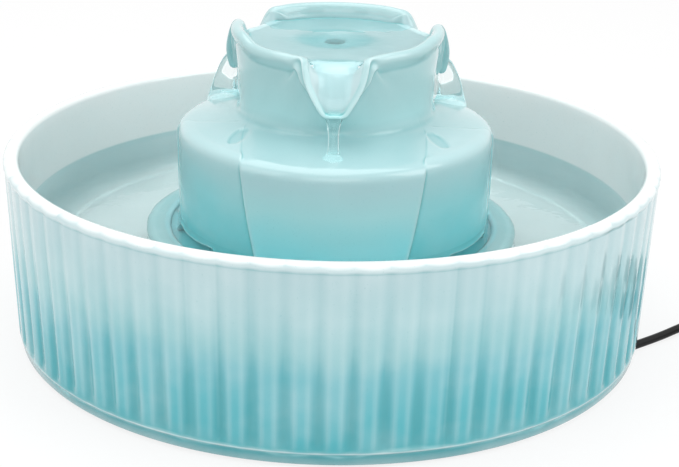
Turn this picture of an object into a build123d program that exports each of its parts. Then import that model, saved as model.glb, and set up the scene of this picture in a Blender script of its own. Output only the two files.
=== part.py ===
from build123d import *
from math import hypot, pi, radians, sin, tan
import os

# Pet water fountain: a fluted ceramic bowl, a ceramic dome with three pouring
# spouts on a ceramic tier, and a submersible pump with a ring filter inside.
# Millimetres, +Z up. The origin is under the middle of the bowl, on the table.
# The front spout points along -Y.

os.makedirs("parts", exist_ok=True)

overcut = 1.0  # how far a cut runs past the face it opens

# ------------------------------------------------------------------------ bowl
pad_thickness = 1.0
pad_count = 6
pad_gap_width = 72.0
pad_ring_width = 4.5
pad_turn = -9.0
foot_height = 3.2
foot_setback = 1.7
foot_width = 8.2
floor_thickness = 4.8
bowl_wall = 5.0
floor_fillet = 14.0
rim_radius = 130.0
rim_top = 77.0
rim_wall = 6.4
rim_band = 5.6
rim_roll = 2.7
rib_count = 70
rib_depth = 1.3
rib_low_radius = 126.9
rib_setback = 0.5
rib_phase = 2.0

foot_top = pad_thickness + foot_height
floor_top = foot_top + floor_thickness
foot_radius = rib_low_radius - foot_setback
rib_high_radius = rim_radius - rib_setback
inner_floor_radius = rib_low_radius - rib_depth - bowl_wall
rim_bottom = rim_top - rim_band
rim_inner_radius = rim_radius - rim_wall

# --------------------------------------------------------------- pump and riser
cup_height = 4.0
cup_radius = 5.0
cup_rim = 0.8
cup_bow = 1.4
cup_neck_radius = 2.2
cup_inset = 6.0
pump_width = 30.0
pump_height = 28.0
pump_front = -6.0
pump_back = 20.5
pump_corner = 2.0
pump_edge = 1.2
pump_floor_wall = 0.9
cover_depth = 6.0
cover_wall = 1.6
cover_height = 19.0
cover_corner = 3.0
cover_gap = 0.4
cover_slot_width = 1.6
cover_slot_pitch = 3.2
cover_slot_margin = 3.5
chamber_radius = 7.6
chamber_depth = 9.0
chamber_back_wall = 1.4
plate_ledge = 1.2
plate_thickness = 1.4
plate_gap = 0.1
inlet_radius = 6.2
spoke_count = 3
spoke_width = 1.4
seal_wire = 0.8
well_bore = 5.4
well_wall = 1.2
well_length = 12.4
shaft_radius = 1.0
running_gap = 0.05
end_float = 0.4
bush_radius = 2.3
bush_length = 2.0
bush_seat_wall = 0.9
magnet_gap = 0.4
sleeve_radius = 2.2
impeller_gap = 0.8
impeller_hub_radius = 3.0
impeller_disc = 1.0
blade_count = 6
blade_thickness = 1.0
motor_wall = 2.0
motor_floor = 2.0
motor_roof = 2.5
core_gap = 0.4
core_margin = 0.6
core_setback = 2.2
core_foot_gap = 1.5
yoke_thickness = 3.8
yoke_roof_gap = 2.4
coil_wrap = 1.8
coil_gap = 0.2
spigot_radius = 4.6
spigot_bore = 3.2
spigot_length = 9.0
riser_wall = 1.74
riser_foot_gap = 3.5
riser_top_gap = 3.0
collar_wall = 1.61
collar_flange = 2.0
dial_radius = 4.6
dial_thickness = 1.6
dial_pin_radius = 1.2
dial_pin_end = 0.8
dial_grip_width = 1.6
dial_grip_height = 1.2
dial_grip_margin = 1.0
dial_slot_gap = 2.4

pump_bottom = floor_top + cup_height
pump_top = pump_bottom + pump_height
pump_middle = (pump_front + pump_back) / 2
plate_radius = chamber_radius + plate_ledge
axis_height = pump_bottom + plate_radius + plate_gap + pump_floor_wall
riser_bore = spigot_radius + running_gap
riser_radius = riser_bore + riser_wall
riser_bottom = pump_top + riser_foot_gap
collar_radius = riser_radius + collar_wall

# ------------------------------------------------------------- tier and filter
tier_height = 27.0
tier_lip = 10.0
tier_wall = 5.0
tier_roll = 4.0
deck_thickness = 5.0
deck_ledge = 3.3
rebate_depth = 3.0
filter_clearance = 1.2
filter_height = 11.0
filter_wall = 1.2
filter_lid_thickness = 1.4
cotton_thickness = 3.0
pad_clearance = 0.1
foam_wall = 1.3
foam_gap = 0.3
foam_fit = 0.2
slot_count = 24
slot_width = 3.0
slot_margin = 4.0
lid_slot_width = 2.6
lid_slot_margin = 5.5
window_count = 18
window_width = 10.0
window_sill = 3.0
window_head = 3.0

# -------------------------------------------------------------- dome and spouts
spout_count = 3
spout_turn = 360.0 / spout_count
dome_turn = 2.5
panel_radius = 62.2
petal_raise = 2.0
petal_top_angle = 35.0
petal_low_angle = 24.4
petal_edge_drop = 1.0
petal_edge_fillet = 4.8
dome_wall = 5.7
shoulder_wall = 6.7
dome_seat_clearance = 0.8
dome_side = 53.0
dome_height = 93.5
shoulder_rise = 6.0
shoulder_roll = 6.0
wing_raise = 0.9
wing_bow = 0.9
wing_arc_angle = 17.5
wing_foot_angle = 30.0
crown_radius = 39.0
crown_taper = 1.0
crown_wall = 4.0
crown_depth = 27.0
crown_floor_wall = 6.0
crown_haunch = 3.0
lip_overhang = 3.0
lip_height = 6.0
lip_roll = 2.4
lip_taper = 1.0
well_radius = 13.5
well_depth = 7.0
hub_wall = 10.0
hub_drop = 6.0
arch_width = 34.0
arch_height = 10.0
spout_reach = 50.6
spout_half_width = 14.5
spout_drop = 24.0
spout_wall = 2.7
spout_tip_half = 4.2
beak_setback = 3.5
nose_radius = 47.6
nose_fall = 8.6
nose_end_fall = 16.0
tip_tuck = 2.1
sill_drop = 7.0
sill_radius = 40.5
channel_floor_radius = 45.6
channel_floor_fall = 6.2
channel_end_wall = 1.9

tier_top = floor_top + tier_height
seat_top = tier_top - rebate_depth
deck_bottom = seat_top - deck_thickness
petal_radius = panel_radius + petal_raise
rebate_radius = petal_radius + dome_seat_clearance
tier_radius = rebate_radius + tier_lip
dome_inner_radius = panel_radius - dome_wall
shoulder_low = seat_top + dome_side
shoulder_high = shoulder_low + shoulder_rise
slope = shoulder_rise / (panel_radius - crown_radius)
crown_top = seat_top + dome_height
crown_inner_radius = crown_radius - crown_wall
crown_floor = crown_top - crown_depth
wing_arc_radius = (crown_radius + panel_radius) / 2 + wing_bow
underside_high = crown_floor - crown_floor_wall
underside_low = shoulder_low - shoulder_wall
well_floor = crown_floor - well_depth
hub_radius = collar_radius + hub_wall
hub_bottom = well_floor - hub_drop
lip_radius = crown_radius + lip_overhang
lip_bottom = crown_top - lip_height
riser_top = crown_floor - riser_top_gap
filter_radius = dome_inner_radius - filter_clearance
filter_bore = hypot(pump_width / 2, pump_back) + foam_wall + foam_gap
deck_bore = filter_radius - deck_ledge
lid_base = seat_top + filter_height

# ----------------------------------------------------- lead, stopper and plug
cord_diameter = 3.4
boss_x = 39.0
boss_y = -22.0
boss_height = 9.0
boss_wall = 3.0
boss_skirt_wall = 3.5
stopper_radius = 8.5
stopper_length = 6.5
stopper_flange = 1.5
stopper_lap = 2.5
notch_width = 7.5
cord_outlet_x = 8.0
cord_outlet_height = 7.0
deck_gap = 0.7
bend_room = 0.2
relief_length = 10.0
relief_radius = 3.4
relief_end_wall = 0.6
tie_thickness = 0.8
tie_width = 8.0
tie_angle = 80.0
tie_slack = 0.5
coil_turn_radius = 19.0
coil_columns = 5
coil_layers = 2
coil_rounding = 0.95
stub_length = 14.0
leave_angle = -15.0
plug_length = 24.0
plug_width = 15.4
plug_thickness = 8.0
plug_edge = 2.4
shell_length = 13.0
shell_width = 12.0
shell_thickness = 4.5
shell_wall = 0.4
tongue_thickness = 1.9
tongue_setback = 1.0

cord_radius = cord_diameter / 2
boss_top = floor_top + boss_height
stopper_seat = boss_top - stopper_length
stopper_flange_radius = stopper_radius + stopper_lap
boss_radius = stopper_flange_radius + boss_wall
boss_skirt_bore = boss_radius - boss_skirt_wall
cord_outlet = pump_bottom + cord_outlet_height
lead_high = seat_top - deck_gap - cord_radius
coil_level = tie_thickness + cord_radius

# the lead's route: round the pump, down through the boss, out under the foot ring
inner_points = [
    (cord_outlet_x, pump_back, cord_outlet),
    (cord_outlet_x, 48, cord_outlet),
    (30, 55, 18),
    (48, 40, 18),
    (44, 12, lead_high),
    (boss_x, boss_y, lead_high),
    (boss_x, boss_y, cord_radius),
    (60, -36, cord_radius),
    (85, -42, cord_radius),
    (107, -30.5, cord_radius),
    (124.5, -15.8, cord_radius),
]
free_points = [
    (124.5, -15.8, cord_radius),
    (135.2, -6.8, cord_radius),
    (146.2, 3.2, coil_level),
    (156.0, 12.5, coil_level),
]


def save(part, name):
    part.label = name
    export_step(part, "parts/" + name + ".step")


# ================================================================ bowl and feet
def rib_outline(crest_radius):
    """Closed run of rounded ribs; the valleys lie rib_depth inside the crests."""
    pitch = 360.0 / rib_count
    valley_radius = crest_radius - rib_depth
    for rib in range(rib_count):
        start = rib_phase - 90.0 + rib * pitch
        ThreePointArc(
            Vector(valley_radius, 0).rotate(Axis.Z, start),
            Vector(crest_radius, 0).rotate(Axis.Z, start + pitch / 2),
            Vector(valley_radius, 0).rotate(Axis.Z, start + pitch),
        )


with BuildPart() as bowl:
    with BuildSketch(Plane.XY.offset(foot_top)):
        with BuildLine():
            rib_outline(rib_low_radius)
        make_face()
    with BuildSketch(Plane.XY.offset(rim_bottom + rim_roll / 2)):
        with BuildLine():
            rib_outline(rib_high_radius)
        make_face()
    loft(ruled=True)
    # rolled rim
    with BuildSketch(Plane.XZ) as rim_section:
        with Locations((rim_inner_radius, rim_bottom)):
            Rectangle(rim_wall, rim_band, align=(Align.MIN, Align.MIN))
        rim_corners = rim_section.vertices().group_by(Axis.Y)
        fillet(rim_corners[-1], radius=rim_roll)
        fillet(rim_corners[0].sort_by(Axis.X)[-1], radius=rim_roll / 2)
    revolve(axis=Axis.Z)
    # foot ring
    with BuildSketch(Plane.XY.offset(pad_thickness)):
        Circle(foot_radius)
        Circle(foot_radius - foot_width, mode=Mode.SUBTRACT)
    extrude(amount=foot_height)
    # inside of the bowl
    with BuildSketch(Plane.XZ) as cavity:
        with BuildLine():
            Polyline(
                (0, floor_top),
                (inner_floor_radius, floor_top),
                (rim_inner_radius, rim_bottom),
                (rim_inner_radius, rim_top + overcut),
                (0, rim_top + overcut),
                close=True,
            )
        make_face()
        floor_corner = cavity.vertices().group_by(Axis.Y)[0].sort_by(Axis.X)[-1]
        fillet(floor_corner, radius=floor_fillet)
    revolve(axis=Axis.Z, mode=Mode.SUBTRACT)
    # boss over the hole where the lead leaves through the floor
    with BuildSketch(Plane.XY.offset(floor_top)):
        with Locations((boss_x, boss_y)):
            Circle(boss_radius)
    extrude(amount=boss_height)
    with BuildSketch(Plane.XY.offset(foot_top)):
        with Locations((boss_x, boss_y)):
            Circle(boss_skirt_bore)
    extrude(amount=stopper_seat - foot_top, mode=Mode.SUBTRACT)
    with BuildSketch(Plane.XY.offset(boss_top)):
        with Locations((boss_x, boss_y)):
            Circle(stopper_radius)
    extrude(amount=-stopper_length, mode=Mode.SUBTRACT)
    # notch in the foot ring, along the lead's own route
    with BuildSketch(Plane.XY.offset(pad_thickness)):
        with BuildLine():
            Polyline(*[(x, y) for x, y, z in inner_points[-3:] + free_points[1:2]])
        trace(line_width=notch_width)
    extrude(amount=foot_height, mode=Mode.SUBTRACT)
save(bowl.part, "bowl")

with BuildPart() as foot_pads:
    with BuildSketch():
        Circle(foot_radius - (foot_width - pad_ring_width) / 2)
        Circle(foot_radius - (foot_width + pad_ring_width) / 2, mode=Mode.SUBTRACT)
        with PolarLocations(foot_radius, pad_count, start_angle=pad_turn):
            Rectangle(4 * foot_width, pad_gap_width, mode=Mode.SUBTRACT)
    extrude(amount=pad_thickness)
save(foot_pads.part, "foot_pads")

with BuildPart() as floor_stopper:
    with BuildSketch(Plane.XY.offset(stopper_seat)):
        with Locations((boss_x, boss_y)):
            Circle(stopper_radius)
    extrude(amount=stopper_length)
    with BuildSketch(Plane.XY.offset(boss_top)):
        with Locations((boss_x, boss_y)):
            Circle(stopper_flange_radius)
    extrude(amount=stopper_flange)
    with Locations((boss_x, boss_y, boss_top + stopper_flange)):
        Hole(cord_radius)
save(floor_stopper.part, "floor_stopper")

# ======================================================================== tier
with BuildPart() as pump_base:
    with BuildSketch(Plane.XZ) as tier_section:
        with BuildLine():
            Polyline(
                (tier_radius, floor_top),
                (tier_radius, tier_top),
                (rebate_radius, tier_top),
                (rebate_radius, seat_top),
                (deck_bore, seat_top),
                (deck_bore, deck_bottom),
                (tier_radius - tier_wall, deck_bottom),
                (tier_radius - tier_wall, floor_top),
                close=True,
            )
        make_face()
        outer_corner = tier_section.vertices().group_by(Axis.Y)[-1].sort_by(Axis.X)[-1]
        fillet(outer_corner, radius=tier_roll)
    revolve(axis=Axis.Z)
save(pump_base.part, "pump_base")

# ======================================================================== dome
# one raised petal, centred on the front spout
with BuildPart() as petal:
    with BuildSketch(Plane.XZ) as petal_section:
        with BuildLine():
            Polyline(
                (panel_radius - dome_wall / 2, seat_top),
                (petal_radius, seat_top),
                (petal_radius, shoulder_low - petal_edge_drop),
                (petal_radius - shoulder_roll, shoulder_low + slope * shoulder_roll),
                (dome_inner_radius, shoulder_low),
                (panel_radius - dome_wall / 2, shoulder_low - dome_wall),
                close=True,
            )
        make_face()
        outer_corners = petal_section.vertices().group_by(Axis.X)[-1]
        fillet(outer_corners.sort_by(Axis.Y)[-1], radius=petal_edge_fillet)
    revolve(axis=Axis.Z)
    petal_top_half = petal_radius * sin(radians(petal_top_angle))
    petal_low_half = petal_radius * sin(radians(petal_low_angle))
    with BuildSketch(Plane.XZ):
        with BuildLine():
            Polyline(
                (0, shoulder_high),
                (petal_top_half, shoulder_high),
                (petal_top_half, shoulder_low),
                (petal_low_half, seat_top),
                (0, seat_top),
            )
            mirror(about=Plane.YZ)
        make_face()
    extrude(amount=2 * petal_radius, mode=Mode.INTERSECT)

# one raised wing on the shoulder, centred between two spouts
wing_inner = crown_radius - crown_wall / 2
wing_outer = panel_radius - shoulder_roll / 2
with BuildPart() as wing:
    with BuildSketch(Plane.XZ):
        with BuildLine():
            Polyline(
                (wing_inner, shoulder_high - petal_edge_drop),
                (wing_inner, shoulder_high + wing_raise),
                (crown_radius, shoulder_high + wing_raise),
                (wing_outer, shoulder_low + slope * shoulder_roll / 2 + wing_raise),
                (wing_outer, shoulder_low - petal_edge_drop),
                close=True,
            )
        make_face()
    revolve(axis=Axis.Z)
    with BuildSketch(Plane.XY.offset(underside_low)):
        with BuildLine():
            apex = Vector(0, -wing_inner)
            middle = Vector(0, -wing_arc_radius).rotate(Axis.Z, wing_arc_angle)
            outer = Vector(0, -petal_radius).rotate(Axis.Z, wing_foot_angle)
            ThreePointArc(apex, middle, outer)
            Line(outer, (0, outer.Y))
            mirror(about=Plane.YZ)
        make_face()
    extrude(amount=2 * shoulder_wall + shoulder_rise, mode=Mode.INTERSECT)

# one spout: a beak that narrows as it falls, and the channel cut down it, each
# as (share of the half width, share of the drop)
beak_sides = ((1.0, 0.0), (0.9, 0.3), (0.74, 0.58), (0.56, 0.76))
channel_sides = ((0.9, 0.3), (0.7, 0.58), (0.5, 0.76))
beak_top = crown_top - beak_setback
beak_tip = crown_top - spout_drop
channel_half = spout_half_width - spout_wall
channel_tip_half = spout_tip_half - 0.7 * spout_wall
sill = crown_top - sill_drop

with BuildPart() as beak:
    with BuildSketch(Plane.XZ.offset(crown_radius - crown_wall / 2)):
        with BuildLine():
            Polyline(
                (0, beak_top),
                *[(spout_half_width * half, beak_top - spout_drop * fall) for half, fall in beak_sides],
                (spout_tip_half, beak_tip),
                (0, beak_tip),
            )
            mirror(about=Plane.YZ)
        make_face()
    extrude(amount=spout_reach - crown_radius + crown_wall)
    with BuildSketch(Plane.YZ):
        with BuildLine():
            nose = ThreePointArc(
                (-crown_radius, beak_top),
                (-nose_radius, beak_top - nose_fall),
                (-spout_reach, beak_top - nose_end_fall),
            )
            Polyline(
                nose @ 1,
                (-spout_reach + tip_tuck, beak_tip),
                (0, beak_tip),
                (0, beak_top),
                nose @ 0,
            )
        make_face()
    extrude(amount=spout_half_width + overcut, both=True, mode=Mode.INTERSECT)

with BuildPart() as channel:
    with BuildSketch(Plane.XZ.offset(crown_inner_radius - crown_wall)):
        with BuildLine():
            Polyline(
                (0, crown_top + overcut),
                (channel_half + overcut, crown_top + overcut),
                *[(channel_half * half, beak_top - spout_drop * fall) for half, fall in channel_sides],
                (channel_tip_half, beak_tip - overcut),
                (0, beak_tip - overcut),
            )
            mirror(about=Plane.YZ)
        make_face()
    extrude(amount=spout_reach)
    with BuildSketch(Plane.YZ):
        with BuildLine():
            channel_floor = ThreePointArc(
                (-sill_radius, sill),
                (-channel_floor_radius, sill - channel_floor_fall),
                (-spout_reach + channel_end_wall, beak_tip - overcut),
            )
            Polyline(
                channel_floor @ 1,
                (-lip_radius - spout_reach, beak_tip - overcut),
                (-lip_radius - spout_reach, crown_top + overcut),
                (0, crown_top + overcut),
                (0, sill),
                channel_floor @ 0,
            )
        make_face()
    extrude(amount=spout_half_width + overcut, both=True, mode=Mode.INTERSECT)

with BuildPart() as dome:
    with BuildSketch(Plane.XZ) as dome_section:
        with BuildLine():
            Polyline(
                (panel_radius, seat_top),
                (panel_radius, shoulder_low),
                (crown_radius - crown_taper, shoulder_high),
                (crown_radius, lip_bottom - lip_overhang),
                (lip_radius, lip_bottom),
                (lip_radius, crown_top),
                (crown_inner_radius + lip_taper, crown_top),
                (crown_inner_radius, crown_floor),
                (well_radius, crown_floor),
                (well_radius, well_floor),
                (collar_radius, well_floor),
                (collar_radius, hub_bottom),
                (hub_radius, hub_bottom),
                (hub_radius, underside_high),
                (crown_inner_radius, underside_high - crown_haunch),
                (dome_inner_radius, underside_low),
                (dome_inner_radius, seat_top),
                close=True,
            )
        make_face()
        fillet(dome_section.vertices().group_by(Axis.Y)[-1], radius=lip_roll)
    revolve(axis=Axis.Z)
    for spout in range(spout_count):
        add(petal.part, rotation=(0, 0, dome_turn + spout * spout_turn))
        add(wing.part, rotation=(0, 0, dome_turn + (spout + 0.5) * spout_turn))
        add(beak.part, rotation=(0, 0, dome_turn + spout * spout_turn))
    for spout in range(spout_count):
        add(channel.part, rotation=(0, 0, dome_turn + spout * spout_turn), mode=Mode.SUBTRACT)
    # low arches between the petals let the water in to the filter
    with BuildSketch(Plane.XY.offset(seat_top)):
        with PolarLocations(panel_radius, spout_count, start_angle=90 + dome_turn):
            Rectangle(4 * dome_wall, arch_width)
    extrude(amount=arch_height, mode=Mode.SUBTRACT)
save(dome.part, "dome")

with BuildPart() as riser_tube:
    with BuildSketch(Plane.XY.offset(riser_bottom)):
        Circle(riser_radius)
        Circle(riser_bore, mode=Mode.SUBTRACT)
    extrude(amount=riser_top - riser_bottom)
save(riser_tube.part, "riser_tube")

with BuildPart() as riser_collar:
    with BuildSketch(Plane.XY.offset(well_floor)):
        Circle(collar_radius)
    extrude(amount=-hub_drop)
    with BuildSketch(Plane.XY.offset(hub_bottom)):
        Circle(collar_radius + collar_flange)
    extrude(amount=-collar_flange)
    with Locations((0, 0, well_floor)):
        Hole(riser_radius)
save(riser_collar.part, "riser_collar")

# ====================================================================== filter
filter_width = filter_radius - filter_bore
filter_middle = (filter_radius + filter_bore) / 2
tray_floor = seat_top + filter_wall

with BuildPart() as filter_tray:
    with BuildSketch(Plane.XY.offset(seat_top)):
        Circle(filter_radius)
        Circle(filter_bore, mode=Mode.SUBTRACT)
    extrude(amount=filter_height)
    with BuildSketch(Plane.XY.offset(tray_floor)):
        Circle(filter_radius - filter_wall)
        Circle(filter_bore + filter_wall, mode=Mode.SUBTRACT)
    extrude(amount=filter_height, mode=Mode.SUBTRACT)
    with BuildSketch(Plane.XY.offset(seat_top)):
        with PolarLocations(filter_middle, slot_count):
            SlotOverall(filter_width - 2 * slot_margin, slot_width)
    extrude(amount=filter_wall, mode=Mode.SUBTRACT)
    # windows round the outer wall
    with BuildSketch(Plane.XY.offset(seat_top + window_sill)):
        with PolarLocations(filter_radius, window_count):
            Rectangle(4 * filter_wall, window_width)
    extrude(amount=filter_height - window_sill - window_head, mode=Mode.SUBTRACT)
save(filter_tray.part, "filter_tray")

with BuildPart() as filter_cotton:
    with BuildSketch(Plane.XY.offset(tray_floor)):
        Circle(filter_radius - filter_wall - pad_clearance)
        Circle(filter_bore + filter_wall + pad_clearance, mode=Mode.SUBTRACT)
    extrude(amount=cotton_thickness)
save(filter_cotton.part, "filter_cotton")

with BuildPart() as filter_carbon:
    with BuildSketch(Plane.XY.offset(tray_floor + cotton_thickness)):
        Circle(filter_radius - filter_wall - pad_clearance)
        Circle(filter_bore + filter_wall + pad_clearance, mode=Mode.SUBTRACT)
    extrude(amount=filter_height - filter_wall - cotton_thickness - pad_clearance)
save(filter_carbon.part, "filter_carbon")

with BuildPart() as filter_lid:
    with BuildSketch(Plane.XY.offset(lid_base)):
        Circle(filter_radius)
        Circle(filter_bore, mode=Mode.SUBTRACT)
        with PolarLocations(filter_middle, slot_count, start_angle=180.0 / slot_count):
            SlotOverall(filter_width - 2 * lid_slot_margin, lid_slot_width, mode=Mode.SUBTRACT)
    extrude(amount=filter_lid_thickness)
save(filter_lid.part, "filter_lid")

with BuildPart() as foam_collar:
    with BuildSketch(Plane.XY.offset(seat_top + foam_gap)):
        Circle(filter_bore - foam_gap)
        with Locations((0, pump_middle)):
            Rectangle(
                pump_width + 2 * foam_fit,
                pump_back - pump_front + 2 * foam_fit,
                mode=Mode.SUBTRACT,
            )
    extrude(amount=filter_height)
save(foam_collar.part, "foam_collar")

# ======================================================================== pump
plate_face = pump_front + plate_thickness
chamber_front = plate_face + seal_wire
chamber_back = pump_front + chamber_depth
well_back = chamber_back + well_length
bush_back = well_back + bush_length
motor_front = chamber_back + chamber_back_wall


def disc_along_y(radius, start, end, mode=Mode.ADD):
    """A disc or a bore on the pump's axis, from one depth to another."""
    seat = (Align.CENTER, Align.CENTER, Align.MIN)
    with Locations(Location((0, start, axis_height), (-90, 0, 0))):
        Cylinder(radius, end - start, align=seat, mode=mode)


with BuildPart() as motor_cavity:
    with BuildSketch(Plane.XZ.offset(-motor_front)):
        with Locations((0, pump_bottom + motor_floor)):
            Rectangle(
                pump_width - 2 * motor_wall,
                pump_height - motor_floor - motor_roof,
                align=(Align.CENTER, Align.MIN),
            )
    extrude(amount=motor_front - pump_back)
    disc_along_y(well_bore + well_wall, motor_front, bush_back + well_wall, mode=Mode.SUBTRACT)

with BuildPart() as pump_body:
    with BuildSketch(Plane.XY.offset(pump_bottom)):
        with Locations((0, pump_middle)):
            Rectangle(pump_width, pump_back - pump_front)
    extrude(amount=pump_height)
    fillet(pump_body.edges().filter_by(Axis.Z).group_by(Axis.Y)[-1], radius=pump_corner)
    fillet(pump_body.edges().group_by(Axis.Z)[-1], radius=pump_edge)
    with BuildSketch(Plane.XY.offset(pump_top)):
        Circle(spigot_radius)
    extrude(amount=spigot_length)
    add(motor_cavity.part, mode=Mode.SUBTRACT)
    disc_along_y(plate_radius + plate_gap, pump_front, chamber_front, mode=Mode.SUBTRACT)
    disc_along_y(chamber_radius, pump_front, chamber_back, mode=Mode.SUBTRACT)
    disc_along_y(well_bore, chamber_back, well_back, mode=Mode.SUBTRACT)
    disc_along_y(bush_radius, well_back, bush_back, mode=Mode.SUBTRACT)
    with BuildSketch(Plane.XY.offset(pump_top + spigot_length)):
        Circle(spigot_bore)
    extrude(amount=axis_height - pump_top - spigot_length, mode=Mode.SUBTRACT)
save(pump_body.part, "pump_body")

# laminated core and coil, potted in the motor cavity
leg_inner = well_bore + well_wall + core_gap
leg_outer = pump_width / 2 - motor_wall - core_margin
leg_foot = pump_bottom + motor_floor + core_foot_gap
yoke_top = pump_top - motor_roof - yoke_roof_gap
yoke_bottom = yoke_top - yoke_thickness
core_front = motor_front + core_setback
core_back = bush_back - core_setback

with BuildPart() as stator_core:
    with BuildSketch(Plane.XZ.offset(-core_front)):
        with BuildLine():
            Polyline(
                (0, yoke_bottom),
                (leg_inner, yoke_bottom),
                (leg_inner, leg_foot),
                (leg_outer, leg_foot),
                (leg_outer, yoke_top),
                (0, yoke_top),
            )
            mirror(about=Plane.YZ)
        make_face()
    extrude(amount=core_front - core_back)
save(stator_core.part, "stator_core")

with BuildPart() as stator_coil:
    with BuildSketch(Plane.XZ.offset(-core_front + coil_wrap)):
        with Locations((0, yoke_bottom + yoke_thickness / 2)):
            Rectangle(2 * (leg_inner - coil_gap), yoke_thickness + 2 * coil_wrap)
    extrude(amount=core_front - core_back - 2 * coil_wrap)
    add(stator_core.part, mode=Mode.SUBTRACT)
save(stator_coil.part, "stator_coil")

with BuildPart() as pump_potting:
    add(motor_cavity.part)
    add(stator_core.part, mode=Mode.SUBTRACT)
    add(stator_coil.part, mode=Mode.SUBTRACT)
save(pump_potting.part, "pump_potting")

# impeller and magnet, which turn on a fixed shaft held in two bushings
impeller_radius = chamber_radius - impeller_gap
magnet_radius = well_bore - magnet_gap
impeller_front = plate_face + bush_length + end_float
impeller_back = chamber_back - end_float
rotor_back = well_back - end_float
blade_inner = sleeve_radius
blade_length = impeller_radius - blade_inner

with BuildPart() as impeller:
    disc_along_y(impeller_hub_radius, impeller_front, impeller_back)
    disc_along_y(impeller_radius, impeller_back - impeller_disc, impeller_back)
    disc_along_y(sleeve_radius, impeller_back, rotor_back)
    with BuildSketch(Plane.XZ.offset(-impeller_front)):
        with Locations((0, axis_height)):
            with PolarLocations(blade_inner + blade_length / 2, blade_count):
                Rectangle(blade_length, blade_thickness)
    extrude(amount=impeller_front - impeller_back + impeller_disc / 2)
    disc_along_y(shaft_radius + running_gap, impeller_front, rotor_back, mode=Mode.SUBTRACT)
save(impeller.part, "impeller")

with BuildPart() as rotor_magnet:
    disc_along_y(magnet_radius, impeller_back, rotor_back)
    disc_along_y(sleeve_radius, impeller_back, rotor_back, mode=Mode.SUBTRACT)
save(rotor_magnet.part, "rotor_magnet")

with BuildPart() as pump_shaft:
    disc_along_y(shaft_radius, plate_face, bush_back)
save(pump_shaft.part, "pump_shaft")

with BuildPart() as shaft_bushings:
    disc_along_y(bush_radius, plate_face, plate_face + bush_length)
    disc_along_y(bush_radius, well_back, bush_back)
    disc_along_y(shaft_radius, plate_face, bush_back, mode=Mode.SUBTRACT)
save(shaft_bushings.part, "shaft_bushings")

# plate that closes the chamber: inlet ring, spokes and a hub for the bushing
with BuildPart() as chamber_plate:
    disc_along_y(plate_radius, pump_front, plate_face)
    disc_along_y(inlet_radius, pump_front, plate_face, mode=Mode.SUBTRACT)
    with BuildSketch(Plane.XZ.offset(-pump_front)):
        with Locations((0, axis_height)):
            with PolarLocations(inlet_radius / 2, spoke_count, start_angle=30):
                Rectangle(inlet_radius + overcut, spoke_width)
    extrude(amount=-plate_thickness)
    disc_along_y(bush_radius + bush_seat_wall, pump_front, plate_face + bush_length)
    disc_along_y(bush_radius, plate_face, plate_face + bush_length, mode=Mode.SUBTRACT)
save(chamber_plate.part, "chamber_plate")

with BuildPart() as chamber_seal:
    disc_along_y(plate_radius, plate_face, chamber_front)
    disc_along_y(chamber_radius, plate_face, chamber_front, mode=Mode.SUBTRACT)
save(chamber_seal.part, "chamber_seal")

# snap-on front cover with the intake slots, and the flow dial on it
cover_bottom = pump_bottom + cover_gap
cover_front = pump_front - cover_depth
cover_slot_length = cover_height - 2 * cover_slot_margin

with BuildPart() as pump_front_cover:
    with BuildSketch(Plane.XY.offset(cover_bottom)):
        with Locations((0, pump_front)):
            Rectangle(pump_width, cover_depth, align=(Align.CENTER, Align.MAX))
    extrude(amount=cover_height)
    fillet(pump_front_cover.edges().filter_by(Axis.Z).group_by(Axis.Y)[0], radius=cover_corner)
    with BuildSketch(Plane.XY.offset(cover_bottom + cover_wall)):
        with Locations((0, pump_front)):
            Rectangle(
                pump_width - 2 * cover_wall,
                cover_depth - cover_wall,
                align=(Align.CENTER, Align.MAX),
            )
    extrude(amount=cover_height - 2 * cover_wall, mode=Mode.SUBTRACT)
    with BuildSketch(Plane.XZ.offset(-cover_front)):
        with Locations((0, axis_height)):
            for side in (-1, 1):
                for column in range(2):
                    slot_x = dial_radius + dial_slot_gap + cover_slot_pitch * column
                    with Locations((side * slot_x, 0)):
                        SlotOverall(cover_slot_length, cover_slot_width, rotation=90)
            Circle(dial_pin_radius + running_gap)
    extrude(amount=-cover_wall, mode=Mode.SUBTRACT)
save(pump_front_cover.part, "pump_front_cover")

with BuildPart() as flow_dial:
    disc_along_y(dial_radius, cover_front - dial_thickness, cover_front)
    disc_along_y(dial_pin_radius, cover_front, cover_front + cover_wall + dial_pin_end)
    with BuildSketch(Plane.XZ.offset(-cover_front + dial_thickness)):
        with Locations((0, axis_height)):
            Rectangle(2 * (dial_radius - dial_grip_margin), dial_grip_width)
    extrude(amount=dial_grip_height)
save(flow_dial.part, "flow_dial")

# ---- suction cups under the pump
with BuildPart() as single_cup:
    with BuildSketch(Plane.XZ):
        with BuildLine():
            Polyline(
                (0, floor_top + cup_bow),
                (cup_radius - cup_rim, floor_top),
                (cup_radius, floor_top),
                (cup_radius - cup_rim / 2, floor_top + cup_rim),
                (cup_neck_radius, floor_top + cup_bow + cup_rim),
                (cup_neck_radius, pump_bottom),
                (0, pump_bottom),
                close=True,
            )
        make_face()
    revolve(axis=Axis.Z)
cup_x = pump_width / 2 - cup_inset
cup_places = [(side * cup_x, y, 0) for side in (-1, 1) for y in (pump_front + cup_inset, pump_back - cup_inset)]
with BuildPart() as suction_cups:
    with Locations(cup_places):
        add(single_cup.part)
save(suction_cups.part, "suction_cups")

# ======================================================================== lead
def cord_radii(points):
    """The largest bend at each corner that both of its runs leave room for."""
    radii = []
    for before, here, after in zip(points, points[1:], points[2:]):
        run_in = Vector(here) - Vector(before)
        run_out = Vector(after) - Vector(here)
        half_turn = radians(run_in.get_angle(run_out) / 2)
        radii.append(0.45 * min(run_in.length, run_out.length) / tan(half_turn))
    return radii


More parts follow.
